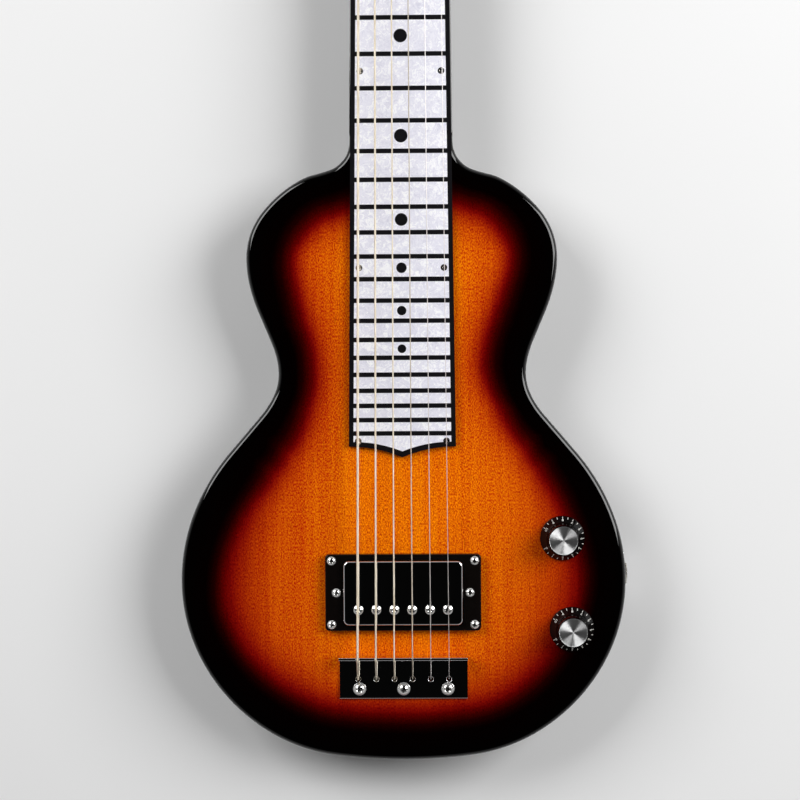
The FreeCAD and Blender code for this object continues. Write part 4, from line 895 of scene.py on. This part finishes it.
def slopeFrame(settings, centre, angle, upSlope):
    # Stands on the skirt: up the slope, round the knob, and out of its surface
    (r0, z0), (r1, z1) = settings["slope"]
    rise = Vector((r1 - r0, 0, z1 - z0))
    run = rise.normalized()
    out = Vector((run.z, 0, -run.x))
    spot = Vector((r0, 0, z0)) + run * upSlope + out * settings["proud"]
    basis = Matrix(((0, run.x, out.x, spot.x), (1, 0, 0, 0), (0, run.z, out.z, spot.z),
                    (0, 0, 0, 1)))
    turn = Matrix.Rotation(math.radians(angle), 4, "Z")
    whole = Matrix.Translation(Vector((*centre, settings["seat"]))) @ turn @ basis
    return Matrix.Scale(mm, 4) @ whole


def digitMesh(text, size):
    # A number as a thin solid, in millimetres
    curve = bpy.data.curves.new("digit", "FONT")
    curve.body = text
    curve.size = size
    curve.align_x = "CENTER"
    curve.align_y = "CENTER"
    curve.extrude = 0.03
    curve.offset = 0.02
    curve.resolution_u = 3
    holder = bpy.data.objects.new("digit", curve)
    bpy.context.scene.collection.objects.link(holder)
    bpy.context.view_layer.update()
    ready = holder.evaluated_get(bpy.context.evaluated_depsgraph_get())
    mesh = bpy.data.meshes.new_from_object(ready)
    bpy.data.objects.remove(holder)
    bpy.data.curves.remove(curve)
    return mesh


def buildKnob(name, settings):
    centre = settings["centres"][name]
    place = Vector((*centre, settings["seat"])) * mm
    turned = [("KnobTurned", "profile", knobBlack, "knob_black", "_knob", 40.0),
              ("CapTurned", "cap", spun, "spun_metal", "_knob_cap", 9.0)]
    for ending, shape, finish, slot, node, sharp in turned:
        profile = [(r * mm, z * mm) for r, z in settings[shape]]
        settle(lathe(profile, settings["segments"], place), name + ending, finish,
               name + "_control", [name + node], sharp)
    dial = begin()
    width, length = settings["tick"]
    first, step, marks = settings["first"], settings["step"], settings["marks"]
    for i in range(2 * marks - 1):
        tick = plateRound((0, 0), width / 2, length / 2, 0.08, -0.03, 0.03, 2)
        absorb(dial, asMesh(tick, "tick"),
               slopeFrame(settings, centre, first + step * i / 2, settings["tickAt"]))
    for i in range(marks):
        absorb(dial, digitMesh(str(i), settings["digitSize"]),
               slopeFrame(settings, centre, first + step * i, settings["digitAt"]))
    settle(dial, name + "Dial", dialWhite, name + "_control", (), 30.0)


for name in knobShape["centres"]:
    buildKnob(name, knobShape)
print("knobs made")


# Camera, light and floor

cameraSetup = {"place": (0.0217, 0.216, 1.400), "aim": (-0.00124, 0.14937, 0.041),
               "roll": -0.0055, "lens": 106.47}


def setCamera(settings):
    place, aim = Vector(settings["place"]), Vector(settings["aim"])
    ahead = (aim - place).normalized()
    right = ahead.cross(Vector((0, 1, 0))).normalized()
    upward = right.cross(ahead)
    c, s = math.cos(settings["roll"]), math.sin(settings["roll"])
    right, upward = right * c + upward * s, upward * c - right * s
    data = bpy.data.cameras.new("camera")
    data.lens = settings["lens"]
    data.sensor_width = 36.0
    data.clip_start, data.clip_end = 0.05, 50.0
    camera = bpy.data.objects.new("camera", data)
    camera.matrix_world = Matrix((
        (right.x, upward.x, -ahead.x, place.x), (right.y, upward.y, -ahead.y, place.y),
        (right.z, upward.z, -ahead.z, place.z), (0, 0, 0, 1)))
    bpy.context.scene.collection.objects.link(camera)
    bpy.context.scene.camera = camera


lamps = [
    {"name": "keyRight", "place": (1.22, 0.64, 1.12), "aim": (0.05, 0.10, 0.0),
     "size": (1.0, 1.2), "watts": 26.0},
    {"name": "fillLeft", "place": (-1.15, 1.00, 1.20), "aim": (0.0, 0.05, 0.0),
     "size": (1.1, 1.0), "watts": 22.0},
]
# Brightness of the room from below to straight above
roomStops = [(0.0, 0.40), (0.5, 0.55), (0.62, 0.48), (0.78, 0.20), (0.88, 0.01), (1.0, 0.0015)]


def setLights():
    for lamp in lamps:
        data = bpy.data.lights.new(lamp["name"], "AREA")
        data.shape = "RECTANGLE"
        data.size, data.size_y = lamp["size"]
        data.energy = lamp["watts"]
        light = bpy.data.objects.new(lamp["name"], data)
        place = Vector(lamp["place"])
        turn = (Vector(lamp["aim"]) - place).to_track_quat("-Z", "Y")
        light.matrix_world = Matrix.Translation(place) @ turn.to_matrix().to_4x4()
        bpy.context.scene.collection.objects.link(light)
    f = Finish(bpy.data.worlds.new("studio"))
    bpy.context.scene.world = f.holder
    height = f.add("TexCoord", {}, {}, "Generated").part("Z")
    room = f.ramp(height * 0.5 + 0.5, [(at, grey(level)) for at, level in roomStops])
    back = f.node("Background", {}, {"Color": room, "Strength": 1.0})
    ending = f.node("OutputWorld")
    f.tree.links.new(back.outputs[0], ending.inputs["Surface"])


def setFloor():
    halfSize, drop = 6.0, 0.0006
    bm = begin()
    bmesh.ops.create_grid(bm, x_segments=1, y_segments=1, size=halfSize)
    bmesh.ops.translate(bm, verts=bm.verts, vec=(0, 0, -drop))
    floor = scratch(bm, "floor")
    f = Finish(bpy.data.materials.new("floorPaper"))
    cloud = f.noise(f.place((3, 3, 3)), 1.0, 2.0)
    shade = f.ramp(cloud, [(0.3, grey(0.80)), (0.7, grey(0.83))])
    floor.data.materials.append(f.surface({"Base Color": shade, "Roughness": 0.8}))


bpy.context.scene.view_settings.view_transform = "Standard"
setCamera(cameraSetup)
setLights()
setFloor()
print("camera, light and floor set")
